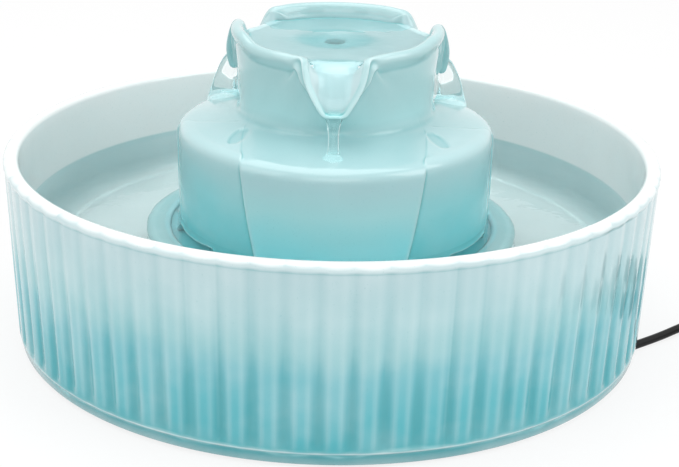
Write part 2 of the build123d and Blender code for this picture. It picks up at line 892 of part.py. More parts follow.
def report_cord(name, radii, tube):
    """Print a lead's bends, and its length worked back from its volume."""
    length = tube.volume / (pi * cord_radius**2)
    print(name, "bends", [round(value, 1) for value in radii], "length", round(length, 1))


def lead_tube(points, radii):
    """A round lead swept along straight runs joined by tangent arcs."""
    with BuildPart() as tube:
        with BuildLine() as route:
            FilletPolyline(*points, radius=radii)
        with BuildSketch(Plane(origin=route.line @ 0, z_dir=route.line % 0)):
            Circle(cord_radius)
        sweep(path=route.line)
    return tube.part


# the two bends beside the stopper leave its bore straight
inner_radii = cord_radii(inner_points)
inner_radii[4] = min(inner_radii[4], lead_high - boss_top - stopper_flange - bend_room)
inner_radii[5] = min(inner_radii[5], stopper_seat - cord_radius - bend_room)
lead_inner = lead_tube(inner_points, inner_radii)
save(lead_inner, "lead_inner")
report_cord("lead_inner", inner_radii, lead_inner)

free_radii = cord_radii(free_points)
lead_free = lead_tube(free_points, free_radii)
save(lead_free, "lead_free")
report_cord("lead_free", free_radii, lead_free)

relief_face = Plane(origin=(cord_outlet_x, pump_back, cord_outlet), z_dir=(0, 1, 0))
with BuildPart() as pump_cord_relief:
    with BuildSketch(relief_face):
        Circle(relief_radius)
    with BuildSketch(relief_face.offset(relief_length)):
        Circle(cord_radius + relief_end_wall)
    loft()
    with BuildSketch(relief_face):
        Circle(cord_radius)
    extrude(amount=relief_length, mode=Mode.SUBTRACT)
save(pump_cord_relief.part, "pump_cord_relief")

# stored coil: the lead runs onto its outer turn and off again to the plug
coil_half_width = coil_columns * cord_radius
coil_height = coil_layers * cord_diameter
coil_outer_turn = coil_turn_radius + coil_half_width - cord_radius
top_level = coil_level + (coil_layers - 1) * cord_diameter
arrive = (Vector(free_points[-1]) - Vector(free_points[-2])).normalized()
arrive_at = Vector(free_points[-1]) + arrive * stub_length
coil_above = arrive_at + Vector(arrive.Y, -arrive.X) * coil_outer_turn
coil_middle = Vector(coil_above.X, coil_above.Y, 0)
leave = Vector(0, -1).rotate(Axis.Z, leave_angle)
leave_radial = Vector(1, 0).rotate(Axis.Z, leave_angle)
leave_at = coil_middle + leave_radial * coil_outer_turn + Vector(0, 0, top_level)

with BuildPart() as lead_coil:
    with BuildSketch(Plane(origin=coil_middle, x_dir=(1, 0, 0), z_dir=(0, -1, 0))):
        with Locations((coil_turn_radius, tie_thickness + coil_height / 2)):
            RectangleRounded(2 * coil_half_width, coil_height, coil_rounding * cord_radius)
    revolve(axis=Axis(coil_middle, (0, 0, 1)))
    with BuildSketch(Plane(origin=arrive_at, z_dir=-arrive)):
        Circle(cord_radius)
    extrude(amount=stub_length)
    with BuildSketch(Plane(origin=leave_at, z_dir=leave)):
        Circle(cord_radius)
    extrude(amount=stub_length)
save(lead_coil.part, "lead_coil")

tie_radial = Vector(1, 0).rotate(Axis.Z, tie_angle)
tie_middle = coil_middle + tie_radial * coil_turn_radius
with BuildPart() as coil_tie:
    with BuildSketch(Plane(origin=tie_middle, x_dir=tie_radial)):
        Rectangle(2 * (coil_half_width + tie_thickness + tie_slack), tie_width)
    extrude(amount=coil_height + 2 * tie_thickness)
    add(lead_coil.part, mode=Mode.SUBTRACT)
save(coil_tie.part, "coil_tie")

tail_start = leave_at + leave * stub_length
tail_drop = Vector(0, 0, plug_thickness / 2 - top_level)
tail_points = [
    tuple(tail_start),
    tuple(tail_start + leave * 6),
    tuple(tail_start + leave * 13 + tail_drop),
    tuple(tail_start + leave * 19 + tail_drop),
]
tail_radii = cord_radii(tail_points)
lead_tail = lead_tube(tail_points, tail_radii)
save(lead_tail, "lead_tail")
report_cord("lead_tail", tail_radii, lead_tail)

# ======================================================================== plug
plug_face = Plane(origin=tail_points[-1], x_dir=leave_radial, z_dir=leave)
plug_shoulder = plug_face.offset(relief_length)
plug_nose = plug_face.offset(relief_length + plug_length)
shell_bore_width = shell_width - 2 * shell_wall
shell_bore_height = shell_thickness - 2 * shell_wall

with BuildPart() as plug_body:
    with BuildSketch(plug_face):
        Circle(cord_radius + relief_end_wall)
    with BuildSketch(plug_shoulder):
        Circle(relief_radius)
    loft()
    with BuildSketch(plug_shoulder):
        RectangleRounded(plug_width, plug_thickness, plug_edge)
    extrude(amount=plug_length)
save(plug_body.part, "plug_body")

with BuildPart() as plug_shell:
    with BuildSketch(plug_nose):
        Rectangle(shell_width, shell_thickness)
        Rectangle(shell_bore_width, shell_bore_height, mode=Mode.SUBTRACT)
    extrude(amount=shell_length)
save(plug_shell.part, "plug_shell")

with BuildPart() as plug_tongue:
    with BuildSketch(plug_nose):
        with Locations((0, (shell_bore_height - tongue_thickness) / 2)):
            Rectangle(shell_bore_width, tongue_thickness)
    extrude(amount=shell_length - tongue_setback)
save(plug_tongue.part, "plug_tongue")
print("coil middle", coil_middle, "plug end", plug_nose.origin + leave * shell_length)
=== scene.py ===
import math

import bpy
import numpy
from mathutils import Matrix, Vector, noise


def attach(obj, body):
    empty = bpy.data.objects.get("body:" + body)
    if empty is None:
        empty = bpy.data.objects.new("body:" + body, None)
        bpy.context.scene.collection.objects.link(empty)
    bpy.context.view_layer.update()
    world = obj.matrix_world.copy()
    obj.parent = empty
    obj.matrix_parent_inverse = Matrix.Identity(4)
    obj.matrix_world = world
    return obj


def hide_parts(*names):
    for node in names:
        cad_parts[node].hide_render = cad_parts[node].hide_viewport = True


# Pet water fountain: a fluted ceramic bowl, a ceramic dome with three pouring
# spouts on a ceramic tier, water, and a pump with its low-voltage lead.
# Shapes are written in millimetres and turned into metres as they are made.

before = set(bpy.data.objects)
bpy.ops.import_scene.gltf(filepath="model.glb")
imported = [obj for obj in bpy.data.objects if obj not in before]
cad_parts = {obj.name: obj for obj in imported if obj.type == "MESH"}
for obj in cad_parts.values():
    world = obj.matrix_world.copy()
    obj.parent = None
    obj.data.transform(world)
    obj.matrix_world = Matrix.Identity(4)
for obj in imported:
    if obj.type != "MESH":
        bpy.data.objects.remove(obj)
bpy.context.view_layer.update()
mm = 0.001


# ------------------------------------------------------------------ shop tools
def put_down():
    """Nothing selected, nothing in edit mode."""
    if bpy.context.object and bpy.context.object.mode != "OBJECT":
        bpy.ops.object.mode_set(mode="OBJECT")
    bpy.ops.object.select_all(action="DESELECT")


def pick_up(piece):
    put_down()
    piece.select_set(True)
    bpy.context.view_layer.objects.active = piece


def label(name):
    piece = bpy.context.object
    piece.name = name
    piece.data.name = name
    return piece


def settle(piece):
    """The piece's place and turn go into its mesh, and its faces point outwards."""
    pick_up(piece)
    bpy.ops.object.transform_apply(location=True, rotation=True, scale=True)
    bpy.ops.object.mode_set(mode="EDIT")
    bpy.ops.mesh.select_all(action="SELECT")
    bpy.ops.mesh.remove_doubles(threshold=0.002 * mm)
    bpy.ops.mesh.normals_make_consistent(inside=False)
    bpy.ops.object.mode_set(mode="OBJECT")


def apply_modifier(piece, kind, **settings):
    pick_up(piece)
    bpy.ops.object.modifier_add(type=kind)
    modifier = piece.modifiers[-1]
    for name, value in settings.items():
        setattr(modifier, name, value)
    bpy.ops.object.modifier_apply(modifier=modifier.name)


def carve(piece, operation, blank):
    """Joins a blank to the piece or cuts it out, and throws the blank away."""
    apply_modifier(piece, "BOOLEAN", operation=operation, object=blank, solver="EXACT")
    bpy.data.objects.remove(blank)


def smooth(piece, angle=None):
    pick_up(piece)
    if angle is None:
        bpy.ops.object.shade_smooth()
    else:
        bpy.ops.object.shade_smooth_by_angle(angle=math.radians(angle))


def dress(piece, material):
    piece.data.materials.clear()
    piece.data.materials.append(material)


def turned(name, section, steps, middle=(0, 0), start=0.0, closed=True):
    """A section of (radius, height) drawn point by point and spun about the upright."""
    put_down()
    along = Vector((math.cos(start), math.sin(start), 0))
    points = [along * (radius * mm) + Vector((0, 0, height * mm)) for radius, height in section]
    bpy.ops.mesh.primitive_plane_add(size=mm)
    piece = label(name)
    bpy.ops.object.mode_set(mode="EDIT")
    bpy.ops.mesh.select_all(action="SELECT")
    bpy.ops.mesh.merge(type="CENTER")
    bpy.ops.transform.translate(value=points[0])
    for before, here in zip(points, points[1:]):
        bpy.ops.mesh.extrude_region_move(TRANSFORM_OT_translate={"value": here - before})
    if closed and section[0][0] > 0:
        bpy.ops.mesh.extrude_region_move(TRANSFORM_OT_translate={"value": points[0] - points[-1]})
    bpy.ops.mesh.select_all(action="SELECT")
    bpy.ops.mesh.spin(steps=steps, angle=math.tau, center=(0, 0, 0), axis=(0, 0, 1))
    bpy.ops.mesh.select_all(action="SELECT")
    bpy.ops.transform.translate(value=(middle[0] * mm, middle[1] * mm, 0))
    bpy.ops.object.mode_set(mode="OBJECT")
    settle(piece)
    return piece


def read_points(piece):
    points = numpy.empty(3 * len(piece.data.vertices))
    piece.data.vertices.foreach_get("co", points)
    return points.reshape(-1, 3)


def write_points(piece, points):
    piece.data.vertices.foreach_set("co", points.ravel())
    piece.data.update()


def radius_of(points):
    return numpy.hypot(points[..., 0], points[..., 1])


def angle_of(points):
    return numpy.degrees(numpy.arctan2(points[..., 1], points[..., 0]))


def write_mark(piece, name, values):
    """A number for each point of a piece, which its paint reads by name."""
    mark = piece.data.attributes.get(name) or piece.data.attributes.new(name, "FLOAT", "POINT")
    mark.data.foreach_set("value", numpy.asarray(values, dtype=float))


def step(low, high, value):
    """0 below low, 1 above high and a soft step between, for numbers or arrays."""
    share = numpy.clip((value - low) / (high - low), 0, 1)
    return share * share * (3 - 2 * share)


def mark_glaze(piece, reach, rounds):
    """Two marks: glaze_break on edges that stand proud, glaze_pool in the hollows."""
    points = read_points(piece)
    edges = numpy.empty(2 * len(piece.data.edges), dtype=int)
    piece.data.edges.foreach_get("vertices", edges)
    first, second = edges.reshape(-1, 2).T
    normals = numpy.empty(3 * len(points))
    piece.data.vertices.foreach_get("normal", normals)
    normals = normals.reshape(-1, 3)
    count = numpy.bincount(first, minlength=len(points)) + numpy.bincount(second, minlength=len(points))
    gap = points[second] - points[first]
    length = numpy.linalg.norm(gap, axis=1) + 1e-9
    bend = numpy.zeros(len(points))
    for one, sign in ((first, 1), (second, -1)):
        rise = -2 * sign * (gap * normals[one]).sum(axis=1) / length**2
        bend += numpy.bincount(one, rise, len(points))
    bend = numpy.clip(bend / numpy.maximum(count, 1) * reach * mm, -1.5, 1.5)
    for _ in range(rounds):
        around = (numpy.bincount(first, bend[second], len(points))
                  + numpy.bincount(second, bend[first], len(points)))
        bend = 0.5 * bend + 0.5 * around / numpy.maximum(count, 1)
    write_mark(piece, "glaze_break", numpy.clip(bend, 0, 1))
    write_mark(piece, "glaze_pool", numpy.clip(-bend, 0, 1))


# ------------------------------------------------------------------ paint shop
white = (1, 1, 1, 1)


def tint(code):
    """A colour written as #RRGGBB, as the linear numbers that a shader takes."""
    shares = [int(code[place:place + 2], 16) / 255 for place in (1, 3, 5)]
    return tuple(s / 12.92 if s <= 0.04045 else ((s + 0.055) / 1.055) ** 2.4 for s in shares) + (1.0,)


def feed(tree, socket, value):
    """A socket takes a number, or what another node's socket gives."""
    if isinstance(value, bpy.types.NodeSocket):
        tree.links.new(value, socket)
    else:
        socket.default_value = value


def put(tree, kind, settings=None, **inputs):
    """A node with its settings and its inputs; _0 is the input with that number."""
    node = tree.nodes.new(kind)
    for name, value in (settings or {}).items():
        setattr(node, name, value)
    for name, value in inputs.items():
        key = int(name[1:]) if name[0] == "_" else name.replace("_", " ")
        feed(tree, node.inputs[key], value)
    return node


def calc(tree, operation, *values):
    node = put(tree, "ShaderNodeMath", {"operation": operation})
    for socket, value in zip(node.inputs, values):
        feed(tree, socket, value)
    return node.outputs[0]


def past(tree, share, start, factor):
    """How far a share lies past a start, times a factor."""
    return calc(tree, "MULTIPLY", calc(tree, "SUBTRACT", share, start), factor)


def plus_part(tree, base, share, factor):
    """A base, and a part of a share on top."""
    return calc(tree, "ADD", base, calc(tree, "MULTIPLY", share, factor))


def blend_colours(tree, share, first, second):
    node = put(tree, "ShaderNodeMix", {"data_type": "RGBA", "clamp_factor": True})
    for place, value in ((0, share), (6, first), (7, second)):
        feed(tree, node.inputs[place], value)
    return node.outputs[2]


def ramp(tree, share, stops):
    """Colours along a share: stops of (place from 0 to 1, #RRGGBB)."""
    node = put(tree, "ShaderNodeValToRGB", Fac=share)
    marks = node.color_ramp.elements
    while len(marks) < len(stops):
        marks.new(0.5)
    for mark, (place, code) in zip(marks, sorted(stops)):
        mark.position = place
        mark.color = tint(code)
    return node.outputs["Color"]


def mark_of(tree, name):
    return put(tree, "ShaderNodeAttribute", {"attribute_name": name}).outputs["Fac"]


def object_place(tree):
    return put(tree, "ShaderNodeTexCoord").outputs["Object"]


def cloud(tree, place, scale, detail=2.0):
    """A soft noise, from 0 to 1, at so many swells to the metre."""
    return put(tree, "ShaderNodeTexNoise", Vector=place, Scale=scale, Detail=detail).outputs["Fac"]


def new_group(name, **takes):
    """A group with its inputs and their first values; it gives a skin's colour, roughness and normal."""
    group = bpy.data.node_groups.new(name, "ShaderNodeTree")
    for word, value in takes.items():
        kind = "NodeSocketColor" if isinstance(value, tuple) else "NodeSocketFloat"
        group.interface.new_socket(word, in_out="INPUT", socket_type=kind).default_value = value
    for word, kind in (("Color", "NodeSocketColor"), ("Roughness", "NodeSocketFloat"),
                       ("Normal", "NodeSocketVector")):
        group.interface.new_socket(word, in_out="OUTPUT", socket_type=kind)
    return group, group.nodes.new("NodeGroupInput").outputs


def close_group(group, colour, rough, bump):
    out = group.nodes.new("NodeGroupOutput").inputs
    for word, given in (("Color", colour), ("Roughness", rough), ("Normal", bump.outputs["Normal"])):
        group.links.new(given, out[word])
    return group


def glaze_group():
    """Poured glaze: it thins to a pale line on edges, pools deeper in hollows, and lies a little uneven."""
    group, given = new_group("poured_glaze", Color=white, Thin=white, Deep=(0, 0, 0, 1), Break=0.0, Pool=0.0,
                             Swell=80.0, Depth=0.1)
    place = object_place(group)
    broad = cloud(group, place, 38, 3)
    fine = cloud(group, place, 420, 2)
    speck = cloud(group, place, 1500, 1)
    colour = blend_colours(group, past(group, broad, 0.42, 0.55), given["Color"], given["Thin"])
    hollow = calc(group, "MULTIPLY", given["Pool"], plus_part(group, 0.6, fine, 0.8))
    colour = blend_colours(group, hollow, colour, given["Deep"])
    edge = calc(group, "MULTIPLY", given["Break"], plus_part(group, 0.65, broad, 0.7))
    colour = blend_colours(group, edge, colour, given["Thin"])
    colour = blend_colours(group, past(group, speck, 0.66, 1.2), colour, given["Deep"])
    height = plus_part(group, cloud(group, place, given["Swell"]), fine, 0.12)
    bump = put(group, "ShaderNodeBump", Strength=given["Depth"], Distance=0.0012, Height=height)
    return close_group(group, colour, plus_part(group, 0.10, fine, 0.08), bump)


def moulded_group():
    """Moulded plastic or rubber: a fine spark texture, and faint flow marks in the colour."""
    group, given = new_group("moulded_skin", Color=white, Worn=white, Grain=2500.0, Gloss=0.4)
    place = object_place(group)
    flow = cloud(group, place, 90, 3)
    colour = blend_colours(group, past(group, flow, 0.35, 0.6), given["Color"], given["Worn"])
    rough = calc(group, "ADD", given["Gloss"], past(group, flow, 0.5, 0.2))
    bump = put(group, "ShaderNodeBump", Strength=0.25, Distance=0.0001,
               Height=cloud(group, place, given["Grain"], 1.0))
    return close_group(group, colour, rough, bump)


poured_glaze = glaze_group()
moulded_skin = moulded_group()


def new_material(name):
    material = bpy.data.materials.new(name)
    material.use_nodes = True
    tree = material.node_tree
    tree.nodes.clear()
    return material, tree


def finish_material(tree, shader):
    put(tree, "ShaderNodeOutputMaterial", Surface=shader.outputs[0])


def finish_skin(tree, group, given, **surface):
    """The material ends in a surface whose colour, roughness and normal a group makes."""
    skin = put(tree, "ShaderNodeGroup", {"node_tree": group}, **given).outputs
    finish_material(tree, put(tree, "ShaderNodeBsdfPrincipled", Base_Color=skin["Color"],
                              Roughness=skin["Roughness"], Normal=skin["Normal"], **surface))


def height_share(tree, low, high):
    """How far up a point lies, from low to high in millimetres, as 0 to 1."""
    up_from_floor = put(tree, "ShaderNodeSeparateXYZ", Vector=object_place(tree)).outputs["Z"]
    return put(tree, "ShaderNodeMapRange", Value=up_from_floor, _1=low * mm, _2=high * mm).outputs[0]


def glazed(name, paint, thin, deep, swell=80.0, depth=0.1):
    """A glaze whose colour paint(tree) gives."""
    material, tree = new_material(name)
    finish_skin(tree, poured_glaze,
                dict(Color=paint(tree), Thin=tint(thin), Deep=tint(deep), Break=mark_of(tree, "glaze_break"),
                     Pool=mark_of(tree, "glaze_pool"), Swell=swell, Depth=depth),
                Specular_IOR_Level=0.42, Coat_Weight=0.4, Coat_Roughness=0.04)
    return material


def moulded(name, colour, worn, gloss=0.4, grain=2500.0, **surface):
    material, tree = new_material(name)
    finish_skin(tree, moulded_skin, dict(Color=tint(colour), Worn=tint(worn), Grain=grain, Gloss=gloss),
                **surface)
    return material


# ---------------------------------------------------------- camera and lights
lens_spot = Vector((35.38, -606.33, 270.43)) * mm
right = Vector((0.99787, 0.06107, 0.02296))
up = Vector((-0.04318, 0.35440, 0.93410))
ahead = Vector((-0.04890, 0.93310, -0.35628))
camera_data = bpy.data.cameras.new("studio_camera")
camera_data.lens = 84.03
camera_data.sensor_width = 36.0
camera_data.clip_start = 0.01
camera = bpy.data.objects.new("studio_camera", camera_data)
bpy.context.scene.collection.objects.link(camera)
camera.matrix_world = Matrix((
    (right.x, up.x, -ahead.x, lens_spot.x),
    (right.y, up.y, -ahead.y, lens_spot.y),
    (right.z, up.z, -ahead.z, lens_spot.z),
    (0, 0, 0, 1)))
bpy.context.scene.camera = camera
bpy.context.scene.view_settings.view_transform = "Standard"

# the softboxes stand round the object and aim at its middle, in metres
aim = Vector((0, 0, 0.05))


def softbox(name, spot, width, height, power):
    lamp_data = bpy.data.lights.new(name, "AREA")
    lamp_data.shape = "RECTANGLE"
    lamp_data.size = width
    lamp_data.size_y = height
    lamp_data.energy = power
    lamp = bpy.data.objects.new(name, lamp_data)
    bpy.context.scene.collection.objects.link(lamp)
    lamp.location = spot
    lamp.rotation_euler = (aim - Vector(spot)).to_track_quat("-Z", "Y").to_euler()


softbox("softbox_over", (-0.15, 0.10, 1.15), 1.1, 1.1, 7.4)
softbox("softbox_left", (-1.0, -0.75, 0.75), 0.8, 0.9, 3.0)
softbox("softbox_right", (0.95, -0.35, 0.78), 0.7, 0.8, 4.6)
softbox("softbox_front", (0.05, -1.35, 0.55), 1.0, 0.6, 2.2)


def seen_share(tree):
    """1 where the camera looks, also in a gloss or through clear water; 0 for light on the object."""
    path = put(tree, "ShaderNodeLightPath").outputs
    beyond = calc(tree, "MAXIMUM", path["Is Glossy Ray"], path["Is Transmission Ray"])
    return calc(tree, "MAXIMUM", path["Is Camera Ray"], beyond)


def backdrop_world():
    world = bpy.data.worlds.new("studio_world")
    bpy.context.scene.world = world
    world.use_nodes = True
    tree = world.node_tree
    tree.nodes.clear()
    room = put(tree, "ShaderNodeBackground", Color=white, Strength=0.60)
    sheet = put(tree, "ShaderNodeBackground", Color=white, Strength=1.0)
    both = put(tree, "ShaderNodeMixShader", _0=seen_share(tree), _1=room.outputs[0], _2=sheet.outputs[0])
    put(tree, "ShaderNodeOutputWorld", Surface=both.outputs[0])


def floor_material():
    """A white sheet: it shows as white, and keeps part of the shadow that falls on it."""
    material, tree = new_material("white_floor")
    paper = put(tree, "ShaderNodeBsdfDiffuse", Color=(0.9, 0.9, 0.9, 1))
    glow = put(tree, "ShaderNodeEmission", Color=white, Strength=1.0)
    share = calc(tree, "MULTIPLY", seen_share(tree), 0.82)
    finish_material(tree, put(tree, "ShaderNodeMixShader", _0=share, _1=paper.outputs[0], _2=glow.outputs[0]))
    return material


backdrop_world()
put_down()
bpy.ops.mesh.primitive_plane_add(size=12.0, location=(0, 0, 0))
studio_floor = label("studio_floor")
dress(studio_floor, floor_material())


# ------------------------------------------------------------------------ lead
cord_diameter = 3.4
lead_black = moulded("lead_black", "#060607", "#0E0F10", gloss=0.46, grain=1800.0, Specular_IOR_Level=0.25)

lead_exit = (124.5, -15.8, 1.7)
inner_route = [
    (8, 20.5, 20), (8, 48, 20), (30, 55, 18), (48, 40, 18), (44, 12, 30.6), (39, -22, 30.6),
    (39, -22, 1.7), (60, -36, 1.7), (85, -42, 1.7), (107, -30.5, 1.7), lead_exit]
free_route = [lead_exit, (135.2, -6.8, 1.7), (146.2, 3.2, 2.5), (156.0, 12.5, 2.5)]

coil_middle = Vector((183.915, 3.4225, 0))
coil_rings = [25.8, 22.4, 19.0, 15.6, 12.2]
coil_low, coil_high = 2.5, 5.9
arrive_angle, leave_angle = 133.5, -15.0
full_turns = 9
points_per_turn = 16
# the part of a turn in which the lead steps in or out to the next ring
turn_share = 0.17
# a smooth curve runs a little inside its points, so they lie this much further out
ring_pull = 1 / 0.981
plug_level = 4.0


def ring_radius(turns):
    """The coil's radius so many turns in from its outside: full rings joined by short steps."""
    ring = min(int(turns), len(coil_rings) - 1)
    if ring == len(coil_rings) - 1:
        return coil_rings[-1]
    share = float(step(1 - turn_share, 1, turns - ring))
    return coil_rings[ring] + share * (coil_rings[ring + 1] - coil_rings[ring])


def coil_route():
    """Clockwise from above: inwards on the floor layer, up, and outwards on the top one."""
    turns = (arrive_angle - leave_angle) / 360 + full_turns
    count = round(turns * points_per_turn)
    route = []
    for number in range(count + 1):
        done = turns * number / count
        angle = math.radians(arrive_angle - 360 * done)
        radius = ring_radius(min(done, turns - done)) * ring_pull
        level = coil_low + (coil_high - coil_low) * float(step(turns / 2 - 0.25, turns / 2 + 0.25, done))
        route.append(coil_middle + Vector((radius * math.cos(angle), radius * math.sin(angle), level)))
    return route


def lead_curve(name, route):
    curve = bpy.data.curves.new(name, "CURVE")
    curve.dimensions = "3D"
    curve.resolution_u = 8
    curve.bevel_depth = cord_diameter / 2 * mm
    curve.bevel_resolution = 5
    curve.use_fill_caps = True
    line = curve.splines.new("NURBS")
    line.points.add(len(route) - 1)
    for point, place in zip(line.points, route):
        point.co = (place[0] * mm, place[1] * mm, place[2] * mm, 1)
    line.order_u = 3
    line.use_endpoint_u = True
    piece = bpy.data.objects.new(name, curve)
    bpy.context.scene.collection.objects.link(piece)
    curve.materials.append(lead_black)
    return piece


heading = Vector((math.cos(math.radians(leave_angle - 90)), math.sin(math.radians(leave_angle - 90)), 0))
leave_at = coil_middle + Vector((coil_rings[0] * math.cos(math.radians(leave_angle)),
                                 coil_rings[0] * math.sin(math.radians(leave_angle)), coil_high))


def past_coil(length, level):
    """A place on the straight tail, so far from where the lead leaves the coil."""
    return leave_at + heading * length + Vector((0, 0, level - coil_high))


tail_route = [past_coil(length, level) for length, level in (
    (14, coil_high), (20, coil_high), (27, plug_level), (33, plug_level))]

lead = lead_curve("power_lead", free_route + coil_route() + tail_route)
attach(lead, "root")
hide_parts("lead_free", "lead_coil", "lead_tail")

lead_inside = lead_curve("lead_inside", inner_route)
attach(lead_inside, "root")
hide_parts("lead_inner")


# ------------------------------------------------------------------------ bowl
rib_count = 70
rib_phase = math.radians(-88.0)
rib_depth = 1.3
steps_per_rib = 14
# the ribs' crests as (radius, height), at the foot and under the rim
crest_foot, crest_rim = (126.9, 4.2), (129.5, 72.8)
boss_spot = (39.0, -22.0)


def arc(middle, radius, start, end, count):
    """Points on part of a circle in a section, from one angle to another in degrees."""
    return [(middle[0] + radius * math.cos(math.radians(start + (end - start) * n / count)),
             middle[1] + radius * math.sin(math.radians(start + (end - start) * n / count)))
            for n in range(count + 1)]


def rib_crest(height):
    """The crests lean out from foot to rim."""
    low_radius, low = crest_foot
    high_radius, high = crest_rim
    return low_radius + (high_radius - low_radius) * (height - low) / (high - low)


def bowl_section():
    inside = [(0, 9), (30, 9), (62, 9), (88, 9)] + arc((107.2, 23.0), 14.0, -90, -2, 9)
    inside += [(121.6, 34), (122.3, 48), (123.1, 62), (123.7, 71.4)]
    rim = arc((126.0, 75.0), 2.0, 180, 90, 4) + arc((127.9, 74.9), 2.1, 90, 0, 5) + [(129.9, 74.4)]
    outside = [(rib_crest(height), height) for height in (
        73.6, 73.2, 72.7, 72, 71, 69.5, 67, 63, 58, 53, 48, 43, 38, 33, 28, 23, 18, 14, 11, 8.8, 7.4,
        6.6, 6.1)]
    foot = [(126.7, 5.7), (126.2, 5.2), (126.0, 4.4), (126.0, 1.9), (125.4, 1.1), (121, 1.0), (117.7, 1.05),
            (117.1, 1.6), (117.0, 3.2), (116.4, 4.1), (114, 4.2), (90, 4.2), (60, 4.2), (0, 4.2)]
    return inside + rim + outside + foot


def rib_places(points):
    """For each point its radius, height and rib number, and 0 on the rib's crest to 1 in the valley."""
    place = (numpy.arctan2(points[:, 1], points[:, 0]) - rib_phase) / math.tau * rib_count
    rib = numpy.floor(place + 1e-4)
    return radius_of(points), points[:, 2], rib, numpy.abs(2 * (place - rib) - 1)


def press_ribs(piece):
    """Broad crests and narrower valleys, deepest near the foot; each rib differs a little from the next."""
    points = read_points(piece) / mm
    radius, height, rib, across_rib = rib_places(points)
    outside = (radius > 126.3) & (height > 5.9) & (height < 76.2)
    deep = (1 + 0.16 * numpy.sin(rib * 2.7) * numpy.cos(rib * 0.83)) * (1 - 0.66 * step(14, 70, height))
    fade = (1 - step(73.2, 76.0, height)) * step(5.6, 10.5, height)
    inwards = numpy.where(outside, rib_depth * deep * step(0.3, 1.0, across_rib) * fade, 0)
    scale = (radius - inwards) / numpy.maximum(radius, 1e-6)
    points[:, 0] *= scale
    points[:, 1] *= scale
    write_points(piece, points * mm)


def cut_lead_way(piece):
    """The lead's boss on the floor, its hole, and the notch under the foot ring."""
    boss = turned("boss_blank", [(0, 6), (14, 6), (14, 17.2), (13.2, 18), (0, 18)], 64, boss_spot)
    bore_section = [(0, 3), (10.5, 3), (10.5, 11.5), (8.6, 11.5), (8.6, 19), (0, 19)]
    bore = turned("bore_blank", bore_section, 64, boss_spot)
    put_down()
    bpy.ops.mesh.primitive_cube_add(size=1)
    notch = label("notch_blank")
    notch.scale = (26 * mm, 7.5 * mm, 8 * mm)
    notch.location = (121.5 * mm, -18.2 * mm, 0.2 * mm)
    notch.rotation_euler = (0, 0, math.radians(40))
    settle(notch)
    carve(piece, "UNION", boss)
    carve(piece, "DIFFERENCE", bore)
    carve(piece, "DIFFERENCE", notch)


def mark_bowl(piece):
    """Marks for the bowl's paint."""
    points = read_points(piece) / mm
    radius, height, rib, across_rib = rib_places(points)
    outer = step(126.0, 128.8, radius) * step(20, 77.5, height)
    outer = numpy.maximum(outer, ((radius > 124.3) & (height < 73.0)).astype(float))
    write_mark(piece, "outer_side", numpy.clip(outer, 0, 1))
    # the deep colour stands in each valley as a tongue that narrows to a point at its own height
    tongue = 47 + 5.5 * numpy.sin(rib * 1.9) * numpy.cos(rib * 0.37) + 2.5 * numpy.sin(rib * 0.61 + 2)
    narrowing = 0.46 + 0.4 * numpy.clip(height / tongue, 0, 1) ** 2.5
    low = 0.8 * step(narrowing, narrowing + 0.55, across_rib + 0.2)
    low *= 1 - step(tongue - 16, tongue + 4, height)
    low *= 0.7 + 0.3 * step(6, 30, height)
    high = 0.3 * step(0.35, 1.0, across_rib) * (1 - 0.6 * step(50, 72, height))
    write_mark(piece, "rib_valley", numpy.maximum(low, high) * (outer > 0.5) * (height < 73.6))
    # how far the rim's white comes down over each rib
    sag = 0.5 + 0.5 * numpy.sin(rib * 2.3) * numpy.cos(rib * 0.71) - 0.8 * across_rib ** 2
    write_mark(piece, "rim_sag", sag)
    mark_glaze(piece, 1.2, 1)


def make_bowl():
    piece = turned("bowl_body", bowl_section(), rib_count * steps_per_rib, start=rib_phase, closed=False)
    press_ribs(piece)
    cut_lead_way(piece)
    smooth(piece, 50)
    mark_bowl(piece)
    return piece


def bowl_paint(tree):
    up_share = height_share(tree, 0, 80)
    drift = past(tree, cloud(tree, object_place(tree), 28, 3), 0.5, 0.12)
    crest = ramp(tree, calc(tree, "ADD", up_share, drift), [
        (0.0, "#3D979F"), (0.06, "#429DA5"), (0.074, "#84C4C9"), (0.09, "#49AAB3"), (0.15, "#48ADB7"),
        (0.28, "#58B2BC"), (0.44, "#74B9C2"), (0.54, "#8DC2C7"), (0.69, "#A7CBCF"), (0.9, "#B1CCD0")])
    valley = ramp(tree, up_share, [
        (0.0, "#3D979F"), (0.1, "#409DA5"), (0.25, "#43A1AA"), (0.45, "#53A8B2"), (0.6, "#80BBC1"),
        (0.75, "#9AC2C6"), (0.9, "#A3C4C8")])
    outside = blend_colours(tree, mark_of(tree, "rib_valley"), crest, valley)
    sag = plus_part(tree, up_share, mark_of(tree, "rim_sag"), 0.012)
    rim_share = put(tree, "ShaderNodeMapRange", Value=sag, _1=0.946, _2=0.960).outputs[0]
    outside = blend_colours(tree, rim_share, outside, tint("#E8EEEE"))
    # painted shade: below the waterline the wall is painted darker than the floor and than the dry wall above
    inside = ramp(tree, up_share, [
        (0.1, "#D3DEDE"), (0.15, "#C4D6D7"), (0.3, "#B6CFD1"), (0.6, "#BAD2D4"), (0.634, "#BFD6D7"),
        (0.642, "#EBEFEE"), (0.88, "#EEF1F0"), (0.95, "#F0F2F1")])
    return blend_colours(tree, mark_of(tree, "outer_side"), inside, outside)


bowl_glaze = glazed("bowl_glaze", bowl_paint, "#E6F0F0", "#4A9FA5", swell=70.0, depth=0.10)
bowl_body = make_bowl()
dress(bowl_body, bowl_glaze)
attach(bowl_body, "root")
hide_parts("bowl")


